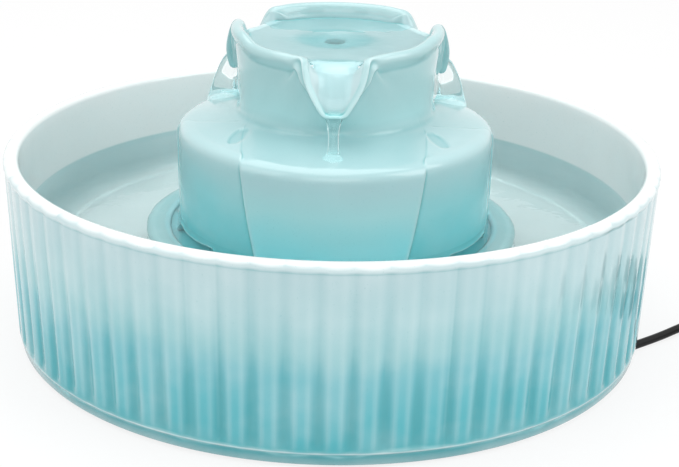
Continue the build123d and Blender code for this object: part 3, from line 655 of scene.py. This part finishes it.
# ------------------------------------------------------------------------ tier
def make_tier():
    section = [(75, 9), (75, 20), (75, 31.6)] + arc((71, 32), 4.0, 0, 90, 6)
    section += [
        (68, 36), (66.6, 36), (65.8, 35.7), (65.2, 34.8), (65, 33.0), (60, 33), (54, 33), (52.4, 32.9),
        (52, 32.4), (52, 28.6), (52.4, 28), (60, 28), (68.5, 28), (69.8, 26.8), (70, 25.4), (70, 16), (70, 9)]
    piece = turned("tier_body", section, 160)
    smooth(piece, 50)
    write_mark(piece, "under_dome", 1 - step(66.0, 68.0, radius_of(read_points(piece) / mm)))
    mark_glaze(piece, 2.0, 1)
    return piece


def tier_paint(tree):
    body = ramp(tree, height_share(tree, 9, 37), [
        (0.0, "#4F9CA1"), (0.5, "#66AAAE"), (0.85, "#76B1B4"), (1.0, "#86BBBE")])
    return blend_colours(tree, mark_of(tree, "under_dome"), body, tint("#56C0C8"))


tier_glaze = glazed("tier_glaze", tier_paint, "#CFE6E7", "#6FB1B5", swell=60.0, depth=0.10)
tier_body = make_tier()
dress(tier_body, tier_glaze)
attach(tier_body, "root")
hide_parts("pump_base")


# ------------------------------------------------------------------------ dome
# One third of the dome runs from one line midway between two spouts to the next.
# It is laid out as rows of places, each row half a third wide: seventeen places
# from a spout's own line round to the midway line, as (out along the spout's
# line, sideways, height). In the crown the first eight places belong to the
# spout. Down the side, the places from arch_start on stand over an arch.
half_count = 16
arch_start = 14
spout_lines = (-87.5, 32.5, 152.5)

# a petal's edge as an angle from its spout's line: by height up the side, then
# by radius over the shoulder
foot_edge = 24.4
petal_side = [
    (34.4, foot_edge), (40.0, 25.0), (50.0, 27.2), (61.0, 29.6), (71.0, 31.4), (79.0, 32.6), (82.9, 33.2)]
petal_shoulder = [
    (63.1, 33.2), (61.8, 33.8), (59.2, 35.0), (56.0, 38.2), (52.8, 41.4), (49.8, 44.8), (46.6, 49.0),
    (43.8, 53.0), (41.8, 56.0)]
wall_foot_edge = 57.4
# the shoulder's outer edge as (radius, height), and how fast it climbs inwards
shoulder_edge = (62.2, 86.0)
shoulder_slope = 0.2586
rim_crest = 126.3

even_angles = [60.0 * n / half_count for n in range(half_count + 1)]
crown_angles = [0, 3.2, 6.4, 9.8, 13.2, 16.2, 18.6, 20.6, 23.8, 29, 35, 40.5, 45, 49, 52.8, 56.4, 60]
basin_angles = [19.0 * n / 7 for n in range(8)] + crown_angles[8:]

# the two ridges of a spout's rim, from the spout's own line out to the crown's rim
outer_ridge = [(46.6, 0, 101.9), (46.0, 3.6, 102.6), (44.8, 6.4, 105.6), (43.4, 8.9, 109.0),
               (42.4, 11.0, 112.6), (41.6, 12.9, 116.4), (40.5, 13.9, 120.2), (39.2, 15.3, 122.0)]
inner_ridge = [(48.2, 0, 102.4), (48.1, 3.9, 102.6), (47.7, 6.2, 105.0), (46.9, 8.6, 108.9),
               (45.7, 10.6, 113.4), (43.9, 11.9, 118.2), (41.6, 12.7, 123.2), (38.9, 13.6, 125.5)]
# the channel's edge inside them, and its floor as (out along the line, height)
channel_rim = [(46.9, 0, 103.2), (46.8, 2.6, 103.6), (46.3, 4.5, 106.0), (45.4, 6.8, 109.9),
               (44.2, 8.9, 114.2), (42.6, 9.9, 118.5), (40.2, 10.4, 122.8), (37.2, 11.2, 124.5)]
channel_floor = [(33.0, 119.2), (36.5, 119.0), (39.0, 117.6), (41.0, 115.3), (43.0, 112.0), (44.8, 108.6),
                 (46.2, 105.6), (47.2, 103.7), (48.2, 102.5)]
channel_width = [(s, t) for s, t, _ in channel_rim]
# the rows down a channel lie at these shares of the way from its rim to the basin
channel_shares = (0.12, 0.32, 0.56, 0.8, 0.97)


def follow(table, place):
    """Reads a table of (place, value) at one place or at many."""
    return numpy.interp(place, *zip(*sorted(table)))


def mixed(first, second, share):
    return tuple(a + (b - a) * share for a, b in zip(first, second))


def round_place(radius, angle, height):
    return radius * math.cos(math.radians(angle)), radius * math.sin(math.radians(angle)), height


def round_row(radius, height, angles):
    return [round_place(radius, angle, height) for angle in angles]


def spread(start, end, count):
    """count steps from start to end, without start."""
    return [start + (end - start) * (n + 1) / count for n in range(count)]


def panel_angles(edge, low_arch=False):
    """Angles where the petal's edge lies between the two close places ten and eleven."""
    near = min(2.4, (60 - edge) * 0.45)
    close = min(0.5, near * 0.4)
    angles = [0.0] + spread(0, edge - near, 9) + [edge - close, edge + close, edge + near]
    return angles + ([43.0, 45.4, 52.5, 60.0] if low_arch else spread(edge + near, 60, 4))


def stepped_row(petal, panel, edge, angles):
    """A row where the petal, up to its edge, and the panel beyond it each have a (radius, height)."""
    row = []
    for angle in angles:
        radius, height = petal if angle < edge else panel
        row.append(round_place(radius, angle, height))
    return row


def arched(row, arch):
    """The row with its places between the petals lifted to the arch."""
    return [(s, t, arch if n >= arch_start else z) for n, (s, t, z) in enumerate(row)]


def rim_height(angle):
    """The crown's rim drops in a round corner to each spout."""
    return rim_crest - 0.3 * (1 - float(step(21.5, 30, angle)))


def crown_row(radius, below, spout_places):
    """A row of the crown's rim, so far below its crest, with the spout's own places first."""
    return list(spout_places) + [round_place(radius, angle, rim_height(angle) - below)
                                 for angle in crown_angles[8:]]


def wall_row(share):
    """The crown's wall, rising straight and then flaring out to the outer ridge."""
    row = []
    for number, (low, high) in enumerate(zip(panel_angles(wall_foot_edge), crown_angles)):
        foot = (38.1, low, 94.6)
        if number < len(outer_ridge):
            s, t, z = outer_ridge[number]
            turn = math.degrees(math.atan2(t, s))
            bend, end = (39.7, turn, z - 3.6), (math.hypot(s, t), turn, z)
        else:
            bend, end = (39.8, high, rim_height(high) - 8.6), (40.2, high, rim_height(high) - 5.7)
        row.append(round_place(*mixed(mixed(foot, bend, share), mixed(bend, end, share), share)))
    return row


def groove_row():
    """The hollow between a spout's two ridges."""
    row = []
    for number, (outer, inner) in enumerate(zip(outer_ridge, inner_ridge)):
        s, t, z = mixed(outer, inner, 0.5)
        hollow = 0.9 if 0 < number < 7 else 0.4
        side = 0.0 if number == 0 else min(1.0, number / 3)
        sink = (0.5 if number < 3 else 0.0) - (0.0 if number < 6 else 0.5)
        row.append((s - 0.3 * side, t - hollow * side, z - sink))
    return crown_row(41.7, 2.4, row)


def floor_at(s):
    return float(follow(channel_floor, s))


def channel_place(number, share):
    """A place in the channel's plan, from the spout's rim in to the sill of the basin, and the
    channel's half width and edge height there."""
    s, t, _ = mixed(channel_rim[number], (34.6, 11.4 * number / 7, 0), share)
    half = float(follow(channel_width + [(30, 12.6)], s))
    edge = float(follow([(out, z) for out, _, z in channel_rim] + [(30, 123.9)], s))
    return s, t, half, edge


def channel_row(share):
    """A row down inside the crown's rim that in a spout runs up the channel to the sill."""
    row = []
    for number in range(len(channel_rim)):
        s, t, half, edge = channel_place(number, share)
        bank = min(1.0, t / max(half, 0.5)) ** 2.4 * (1 - float(step(0.25, 0.9, share)))
        row.append((s, t, floor_at(s) + max(edge - floor_at(s), 0) * bank))
    for angle in crown_angles[8:]:
        top = rim_height(angle) - 2.6
        row.append(round_place(36.7 - 1.9 * share, angle, top + (119.2 - top) * share ** 0.8))
    return row


def room_rows():
    """From the hub round the riser out under the crown and the shoulder, and down the inner wall."""
    rows = [round_row(r, z, even_angles) for r, z in (
        (8.0, 86.5), (17.2, 86.5), (18.0, 87.3), (18.0, 110.5), (19.6, 113.0), (31.0, 113.0), (33.0, 111.2),
        (33.2, 96.0), (35.5, 90.6), (53.5, 80.9), (56.3, 78.0))]
    return rows + [arched(round_row(56.5, height, panel_angles(foot_edge, True)), arch)
                   for height, arch in ((60.0, 60.0), (42.0, 47.0), (34.2, 43.9))]


def side_rows():
    """Round the foot, which the arches lift between the petals, and up the outside to the shoulder."""
    rows = []
    for petal, panel, height, arch in (
            (57.6, 57.4, 33.0, 43.0), (62.9, 61.9, 33.0, 43.0), (63.9, 63.0, 34.3, 44.0)):
        row = stepped_row((petal, height), (panel, height), foot_edge, panel_angles(foot_edge, True))
        rows.append(arched(row, arch))
    for (height, edge), arch in zip(petal_side[1:6], (46.0, 51.5, 61.0, 71.0, 79.0)):
        row = stepped_row((63.3, height), (62.5, height), edge, panel_angles(edge, height < 45))
        rows.append(arched(row, arch))
    return rows


def shoulder_rows():
    """Over the shoulder: the wing between two spouts stands a little proud, up to its point at the crown."""
    rows = []
    for (radius, edge), height, panel in zip(petal_shoulder, (82.9, 85.3, 86.7),
                                             ((62.4, 83.2), (61.3, 86.0), (58.6, 87.4))):
        rows.append(stepped_row((radius, height), panel, edge, panel_angles(edge)))
    for (radius, edge), lift in zip(petal_shoulder[3:], (0.15, 0.12, 0.12, 0.12, 0.12, 0.1)):
        height = shoulder_edge[1] + shoulder_slope * (shoulder_edge[0] - radius)
        rows.append(stepped_row((radius, height), (radius, height + lift), edge, panel_angles(edge)))
    return rows


def crown_rows():
    """Up the crown's wall, over its rim and the spouts' ridges, and down into the channels."""
    rows = [round_row(r, z, panel_angles(wall_foot_edge)) for r, z in ((40.0, 92.0), (38.7, 93.1))]
    rows += [wall_row(share) for share in (0.06, 0.3, 0.55, 0.76, 0.92)]
    rows += [crown_row(41.1, 4.3, outer_ridge), groove_row(), crown_row(41.0, 0.6, inner_ridge)]
    crest = [mixed(a, b, 0.55) for a, b in zip(inner_ridge, channel_rim)]
    rows.append(crown_row(39.0, 0.05, [(s, t, z + 0.35) for s, t, z in crest]))
    rows.append(crown_row(37.2, 1.3, channel_rim))
    return rows + [channel_row(share) for share in channel_shares]


def basin_rows():
    """The shallow basin, its throat, and the well that holds the riser's collar."""
    return [round_row(33.4, 118.95, basin_angles)] + [round_row(r, z, even_angles) for r, z in (
        (27.0, 118.9), (20.0, 118.6), (16.4, 118.0), (13.6, 117.1), (10.8, 116.1), (8.0, 115.4), (5.6, 114.6),
        (4.0, 113.4), (3.5, 111.0), (3.5, 104.0), (3.9, 99.4), (10.3, 96.4), (10.3, 93.1), (9.6, 92.5),
        (8.0, 92.5))]


def turned_place(line, out, side, height):
    """A place given along and across a spout's line, in the object's own directions."""
    turn = math.radians(line)
    return out * math.cos(turn) - side * math.sin(turn), out * math.sin(turn) + side * math.cos(turn), height


def full_ring(row):
    """The half row mirrored and turned to all three spouts, as points in order round the dome."""
    ring = []
    for line in spout_lines:
        for place in range(-half_count, half_count):
            out, side, height = row[abs(place)]
            ring.append(turned_place(line, out, -side if place < 0 else side, height))
    return ring


# how far the rim comes down beside the front spout, by the angle from its line
rim_dip = [
    (-66, 0), (-60, 1.1), (-54, 2.3), (-48, 2.8), (-38, 3.1), (-30, 3.1), (-23, 3.2), (-19, 3.0), (-16, 2.2),
    (-12, 0.6), (-8, 0), (8, 0), (12, 0.6), (16, 2.1), (19, 2.6), (24, 2.5), (31, 2.3), (39, 2.1), (48, 1.9),
    (58, 1.0), (66, 0)]


def front_dip(rings):
    """The rim and its wall come down by a few millimetres on both sides of the front spout."""
    turn = angle_of(rings) - spout_lines[0]
    dip = follow(rim_dip, (turn + 180) % 360 - 180)
    rings[..., 2] -= dip * step(106, 121.0, rings[..., 2]) * step(34.8, 37.0, radius_of(rings))
    return rings


def hold_shape(wanted, rounds):
    """Moves the cage out so that its smooth surface passes near the places that were wanted."""
    cage = wanted.copy()
    for _ in range(rounds):
        limit = cage
        for axis in (0, 1):
            limit = (numpy.roll(limit, 1, axis) + 4 * limit + numpy.roll(limit, -1, axis)) / 6
        cage = cage + (wanted - limit)
    return cage


def set_off_centre(points):
    """The dome sits loosely on its tier: above its foot it stands a millimetre to the right."""
    points[..., 0] += 1.0 * step(12.0, 24.0, radius_of(points)) * step(36, 46, points[..., 2])
    return points


def woven(name, rings, loop):
    """A skin over rows of places.

    A circle is drawn out row by row, its ends are bridged or filled, and it is laid on the places."""
    rows, columns = rings.shape[:2]
    put_down()
    bpy.ops.mesh.primitive_circle_add(vertices=columns, radius=1)
    piece = label(name)
    bpy.ops.object.mode_set(mode="EDIT")
    bpy.ops.mesh.select_all(action="SELECT")
    for _ in range(rows - 1):
        bpy.ops.mesh.extrude_region_move(TRANSFORM_OT_translate={"value": (0, 0, 1)})
    bpy.ops.mesh.select_all(action="DESELECT")
    bpy.ops.mesh.select_non_manifold()
    if loop:
        bpy.ops.mesh.bridge_edge_loops()
    else:
        bpy.ops.mesh.edge_face_add()
    bpy.ops.object.mode_set(mode="OBJECT")
    tube = read_points(piece)
    row = numpy.rint(tube[:, 2]).astype(int)
    column = numpy.rint(numpy.arctan2(tube[:, 1], tube[:, 0]) / math.tau * columns).astype(int) % columns
    write_points(piece, rings[row, column] * mm)
    settle(piece)
    return piece


# dark hollows shaped like a leaf, by the point of each wing: from and to, as (radius, angle)
leaf_marks = [((42.6, -140.6), (54.5, -133.0)), ((43.5, -31.6), (55.5, -37.2)), ((43.0, 92.5), (54.5, 92.5))]
leaf_half_width = 4.0
leaf_depth = 0.5


def leaf_share(points):
    """1 in the middle of a leaf hollow, 0 outside it."""
    share = numpy.zeros(len(points))
    for ends in leaf_marks:
        start, end = (numpy.array(round_place(radius, angle, 0)[:2]) for radius, angle in ends)
        middle, half = (start + end) / 2, (end - start) / 2
        length = numpy.hypot(*half)
        off = points[:, :2] - middle
        along = off @ half / length ** 2
        aside = numpy.abs(off @ numpy.array((-half[1], half[0]))) / length
        wide = leaf_half_width * numpy.sqrt(numpy.clip(1 - along ** 2, 0.0, 1)) + 1e-6
        here = (1 - step(0.5, 1.0, aside / wide)) * (1 - step(0.7, 1.0, numpy.abs(along)))
        share = numpy.maximum(share, here)
    return share * (points[:, 2] > 84) * (radius_of(points) > 40.5)


def ease_wall(piece):
    """The crown's wall is smoothed, and so is the fillet at its foot."""
    points = read_points(piece) / mm
    radius, height = radius_of(points), points[:, 2]
    by_spout = numpy.abs((angle_of(points) - spout_lines[0] + 60) % 120 - 60)
    top = numpy.interp(by_spout, (0, 8, 17, 22, 60), (99.0, 101.0, 111.0, 114.5, 116.5))
    on_wall = (radius > 36.5) & (radius < 42.5) & (height > 89.5) & (height < top)
    pick_up(piece)
    bpy.ops.object.mode_set(mode="EDIT")
    bpy.ops.mesh.select_mode(type="VERT")
    bpy.ops.mesh.select_all(action="DESELECT")
    bpy.ops.object.mode_set(mode="OBJECT")
    piece.data.vertices.foreach_set("select", on_wall & (height > 88 + 0.6 * (42 - radius)))
    bpy.ops.object.mode_set(mode="EDIT")
    bpy.ops.mesh.vertices_smooth(factor=0.5, repeat=16)
    bpy.ops.object.mode_set(mode="OBJECT")


def dome_marks(points):
    """Marks for the dome's paint: the basin, the channels, the petals, and a painted shade line along the
    side wings' far edges.
    """
    radius, height = radius_of(points), points[:, 2]
    channel, petal, far_edge_shade = numpy.zeros((3, len(points)))
    for number, line in enumerate(spout_lines):
        turn = math.radians(line)
        out = points[:, 0] * math.cos(turn) + points[:, 1] * math.sin(turn)
        side = numpy.abs(points[:, 1] * math.cos(turn) - points[:, 0] * math.sin(turn))
        half, floor = follow(channel_width, out), follow(channel_floor, out)
        in_channel = (out > 33.5) * (1 - step(half - 0.9, half + 0.2, side)) * (height > floor - 0.7)
        channel = numpy.maximum(channel, in_channel)
        angle = numpy.degrees(numpy.arctan2(side, out))
        edge = numpy.where(height > 84.5, follow(petal_shoulder, radius), follow(petal_side, height))
        on_petal = (1 - step(edge - 0.5, edge + 0.5, angle)) * (radius > 41.0) * (height < 93.5)
        petal = numpy.maximum(petal, on_petal)
        # painted shade: a thin dark line beside the far edge of each side wing on the shoulder
        if number > 0:
            gap = numpy.abs(angle - edge) * radius * math.pi / 180
            on_shoulder = (height > 85.0) * (height < 92.5) * (radius > 42)
            far_edge_shade = numpy.maximum(far_edge_shade, (1 - step(0.2, 0.9, gap)) * on_shoulder)
    basin = (1 - step(37.0, 38.6, radius)) * (height > 92.0) * (height < 123.6) * (channel < 0.5)
    return {"basin_side": basin, "channel_side": channel, "petal_side": petal, "wing_edge_shade": far_edge_shade}


def fade_lips(piece, radius, height):
    """The pale line on proud edges fades out along the spouts' lips."""
    pale = numpy.empty(len(radius))
    piece.data.attributes["glaze_break"].data.foreach_get("value", pale)
    on_lip = (radius > 42.6) & (height > 95)
    write_mark(piece, "glaze_break", pale * numpy.where(on_lip, step(103.0, 110.0, height), 1.0))


def make_dome():
    rows = room_rows() + side_rows() + shoulder_rows() + crown_rows() + basin_rows()
    rings = front_dip(numpy.array([full_ring(row) for row in rows]))
    piece = woven("dome_body", hold_shape(rings, 3), loop=True)
    apply_modifier(piece, "SUBSURF", levels=2, render_levels=2)
    ease_wall(piece)
    points = read_points(piece) / mm
    leaf = leaf_share(points)
    points[:, 2] -= leaf_depth * leaf
    marks = dome_marks(points)
    radius, height = radius_of(points), points[:, 2]
    write_points(piece, set_off_centre(points) * mm)
    smooth(piece)
    write_mark(piece, "leaf_hollow", leaf)
    for name, values in marks.items():
        write_mark(piece, name, values)
    mark_glaze(piece, 1.6, 3)
    fade_lips(piece, radius, height)
    return piece


def dome_paint(tree):
    drift = past(tree, cloud(tree, object_place(tree), 30, 3), 0.5, 0.10)
    share = calc(tree, "ADD", height_share(tree, 30, 125), drift)
    crown_stops = [(0.72, "#ACD8DA"), (0.85, "#A9D0D2"), (1.0, "#A2C9CB")]
    wing = ramp(tree, share, [
        (0.0, "#4EBBC3"), (0.21, "#5AC1C8"), (0.27, "#6CCAD1"), (0.4, "#92D4D9"), (0.52, "#A6D2D6"),
        (0.6, "#AFD2D5"), (0.65, "#A2CCCF")] + crown_stops)
    petal = ramp(tree, share, [
        (0.0, "#6CD8E1"), (0.14, "#74DCE5"), (0.27, "#8EDEE5"), (0.4, "#ACDEE1"), (0.52, "#B1D5D9"),
        (0.6, "#A6CDD0"), (0.65, "#A0CBCE")] + crown_stops)
    body = blend_colours(tree, mark_of(tree, "petal_side"), wing, petal)
    # painted shade along the side wings' far edges, and the darker leaf hollows
    for mark, strength, colour in (("wing_edge_shade", 0.5, "#7FB4B9"), ("leaf_hollow", 0.6, "#84C0C4")):
        marked = calc(tree, "MULTIPLY", mark_of(tree, mark), strength)
        body = blend_colours(tree, marked, body, tint(colour))
    # painted shade: the basin is painted darkest round its throat, and painted light makes the throat's wall
    # below it pale
    basin = ramp(tree, height_share(tree, 100, 125), [
        (0.0, "#B4E2E5"), (0.45, "#A6DADE"), (0.53, "#62A2A6"), (0.68, "#659FA3"), (0.715, "#7CA5A8"),
        (0.745, "#84A8AB"), (0.8, "#88A9AC"), (0.88, "#A0C4C7"), (1.0, "#B2D0D2")])
    body = blend_colours(tree, mark_of(tree, "basin_side"), body, basin)
    return blend_colours(tree, mark_of(tree, "channel_side"), body, tint("#AECACD"))


dome_glaze = glazed("dome_glaze", dome_paint, "#BEDADC", "#5FAFB2", swell=70.0, depth=0.12)
dome_body = make_dome()
dress(dome_body, dome_glaze)
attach(dome_body, "dome")
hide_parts("dome")


# ------------------------------------------------------------------------ water
def water_material():
    """Clear water that lets the lamps through to what lies in it."""
    material, tree = new_material("clear_water")
    ripple = cloud(tree, object_place(tree), 60, 3)
    bump = put(tree, "ShaderNodeBump", Strength=0.25, Distance=0.0015, Height=ripple).outputs["Normal"]
    water = put(tree, "ShaderNodeBsdfPrincipled", Base_Color=tint("#F4FBFB"), Roughness=0.02, IOR=1.33,
                Transmission_Weight=1.0, Normal=bump)
    clear = put(tree, "ShaderNodeBsdfTransparent", Color=tint("#EEF7F7"))
    shadow = put(tree, "ShaderNodeLightPath").outputs["Is Shadow Ray"]
    both = put(tree, "ShaderNodeMixShader", _0=shadow, _1=water.outputs[0], _2=clear.outputs[0])
    finish_material(tree, both)
    return material


clear_water = water_material()
bowl_water_section = [
    (0, 8.4), (107, 8.4), (115.0, 10.8), (120.4, 16), (122.0, 24), (122.3, 34), (123.0, 49.8), (123.0, 50.9),
    (122.2, 50.35), (121.2, 50.0), (118, 50), (90, 50), (0, 50)]
bowl_water = turned("bowl_water", bowl_water_section, 180, closed=False)
smooth(bowl_water, 40)
dress(bowl_water, clear_water)
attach(bowl_water, "root")


def water_row(share, under):
    """A row of the crown's water, over the channels and the basin's edge, or just under their floor."""
    row = []
    for number in range(len(channel_rim)):
        s, t, half, _ = channel_place(number, share)
        depth = numpy.interp(s, (36, 40, 44, 47), (2.1, 1.9, 1.7, 1.2))
        swell = 0.5 * (1 - min(1, t / max(half, 0.5)) ** 2) * (1 - float(step(0.1, 0.5, share)))
        row.append((s, t, floor_at(s) - 0.6 if under else floor_at(s) + depth + swell))
    radius = 36.9 - 1.9 * share
    return row + round_row(radius, 118.5 if under else 121.35 - 0.25 * share, crown_angles[8:])


def make_crown_water():
    """The basin's water swells a little over the throat and fills it."""
    shares = (0.0,) + channel_shares
    rows = [round_row(r, z, even_angles) for r, z in (
        (2.0, 122.5), (7.0, 122.2), (13.0, 121.5), (22.0, 121.15))]
    rows += [round_row(29.0, 121.1, basin_angles)]
    rows += [water_row(share, False) for share in reversed(shares)]
    rows += [water_row(share, True) for share in shares]
    rows += [round_row(27.0, 118.4, basin_angles)]
    rows += [round_row(r, z, even_angles) for r, z in (
        (20.0, 118.2), (16.8, 117.6), (14.0, 116.7), (11.2, 115.7), (8.4, 115.0), (6.0, 114.2), (4.4, 113.0),
        (3.9, 110.8), (3.9, 104.0), (4.3, 99.7), (10.6, 96.8), (10.6, 93.4), (2.0, 93.4))]
    piece = woven("crown_water", set_off_centre(numpy.array([full_ring(row) for row in rows])), loop=False)
    apply_modifier(piece, "SUBSURF", levels=1, render_levels=1)
    return piece


# a falling stream, level by level: height, its near and far side along the spout's line, half its width
front_stream = [
    (104.6, 44.8, 46.6, 2.2), (103.7, 45.4, 48.0, 3.6), (102.3, 46.4, 49.3, 3.4), (100.4, 47.6, 50.2, 2.6),
    (97.5, 48.6, 50.8, 2.0), (94.0, 49.6, 51.8, 1.9), (91.0, 50.4, 52.7, 2.0), (89.5, 50.7, 53.6, 2.4),
    (88.6, 50.4, 54.8, 3.4), (88.1, 49.4, 56.2, 4.8), (87.0, 49.2, 56.4, 5.0)]
side_stream = [
    (109.4, 43.6, 46.2, 2.0), (108.2, 44.2, 50.6, 2.9), (106.4, 45.2, 53.4, 3.0), (103.0, 46.8, 55.6, 2.8),
    (100.0, 47.5, 57.3, 2.5), (97.0, 47.5, 58.8, 2.3), (94.0, 47.4, 59.9, 2.3), (91.2, 47.1, 60.8, 2.6),
    (89.6, 46.4, 61.4, 3.4), (88.2, 45.2, 62.2, 5.0), (86.8, 45.0, 62.0, 5.2), (85.4, 47.0, 60.5, 4.0)]
stream_sides = 24
# below this height a stream spreads, and lies along the shoulder's slope
landing, landed = 91, 87.5


def make_stream(name, levels, line, seed):
    """Water that leaves a spout, thins as it falls and spreads where it lands."""
    rings = []
    for height, near, far, half in levels:
        ring = []
        for number in range(stream_sides):
            angle = math.tau * number / stream_sides
            spot = Vector((math.cos(angle) * 1.6, math.sin(angle) * 1.6, height * 0.11 + seed))
            ripple = 1 + 0.09 * noise.noise(spot)
            out = (near + far) / 2 + (far - near) / 2 * math.cos(angle) * ripple
            lean = shoulder_slope * ((near + far) / 2 - out) * float(step(landing, landed, height))
            ring.append(turned_place(line, out, half * math.sin(angle) * ripple, height + lean))
        rings.append(ring)
    piece = woven(name, set_off_centre(numpy.array(rings)), loop=False)
    apply_modifier(piece, "SUBSURF", levels=2, render_levels=2)
    return piece


crown_water = make_crown_water()
for stream_number, stream_levels in enumerate((front_stream, side_stream, side_stream)):
    stream = make_stream("stream_blank", stream_levels, spout_lines[stream_number], 3.0 * stream_number)
    carve(crown_water, "UNION", stream)
smooth(crown_water, 50)
dress(crown_water, clear_water)
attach(crown_water, "dome")


# ------------------------------------------------------- finishes of the nodes
def wear(finish, *node_names):
    """Nodes that keep their own shape in the picture take a finish."""
    for node_name in node_names:
        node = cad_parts[node_name]
        for slot in node.material_slots:
            slot.material = finish
        if not node.material_slots:
            node.data.materials.append(finish)


wear(moulded("white_silicone", "#D9DEDD", "#C6CCCB", gloss=0.55, grain=900.0),
     "foot_pads", "floor_stopper", "riser_collar")
wear(moulded("clear_silicone", "#C9D3D3", "#B7C2C2", gloss=0.3, grain=700.0), "riser_tube", "suction_cups")
wear(moulded("tray_white", "#E4E6E4", "#D6D9D7", gloss=0.38), "filter_tray", "filter_lid")
wear(moulded("cotton_white", "#E9E6DD", "#D8D3C6", gloss=0.9, grain=1400.0), "filter_cotton")
wear(moulded("carbon_black", "#1A1A1B", "#2E2E30", gloss=0.75, grain=500.0), "filter_carbon")
wear(moulded("foam_black", "#232425", "#333537", gloss=0.9, grain=800.0), "foam_collar")
wear(moulded("pump_black", "#18191B", "#242628", gloss=0.45),
     "pump_body", "chamber_plate", "chamber_seal", "pump_front_cover")
wear(moulded("dial_grey", "#5B5F62", "#6A6E71", gloss=0.4), "flow_dial")
wear(moulded("impeller_white", "#D8D8D2", "#C8C8C0", gloss=0.4), "impeller")
wear(moulded("magnet_grey", "#3A3B3D", "#4A4B4D", gloss=0.5, Metallic=0.4), "rotor_magnet")
wear(moulded("ceramic_white", "#EDEBE4", "#E2DFD6", gloss=0.25), "pump_shaft", "shaft_bushings")
wear(moulded("core_steel", "#8B8E91", "#787B7E", gloss=0.4, grain=1200.0, Metallic=1.0), "stator_core")
wear(moulded("winding_copper", "#B5693A", "#9C552C", gloss=0.35, grain=2200.0, Metallic=1.0), "stator_coil")
wear(moulded("potting_black", "#0F0F10", "#1A1A1C", gloss=0.3), "pump_potting")
wear(moulded("tie_black", "#141516", "#222426", gloss=0.6), "coil_tie")
wear(moulded("plug_black", "#121314", "#202224", gloss=0.45), "plug_body")
wear(moulded("plug_steel", "#B9BCBF", "#A5A8AB", gloss=0.25, grain=1500.0, Metallic=1.0), "plug_shell")
wear(moulded("tongue_white", "#E6E6E2", "#D5D5D0", gloss=0.35), "plug_tongue")
wear(lead_black, "pump_cord_relief")
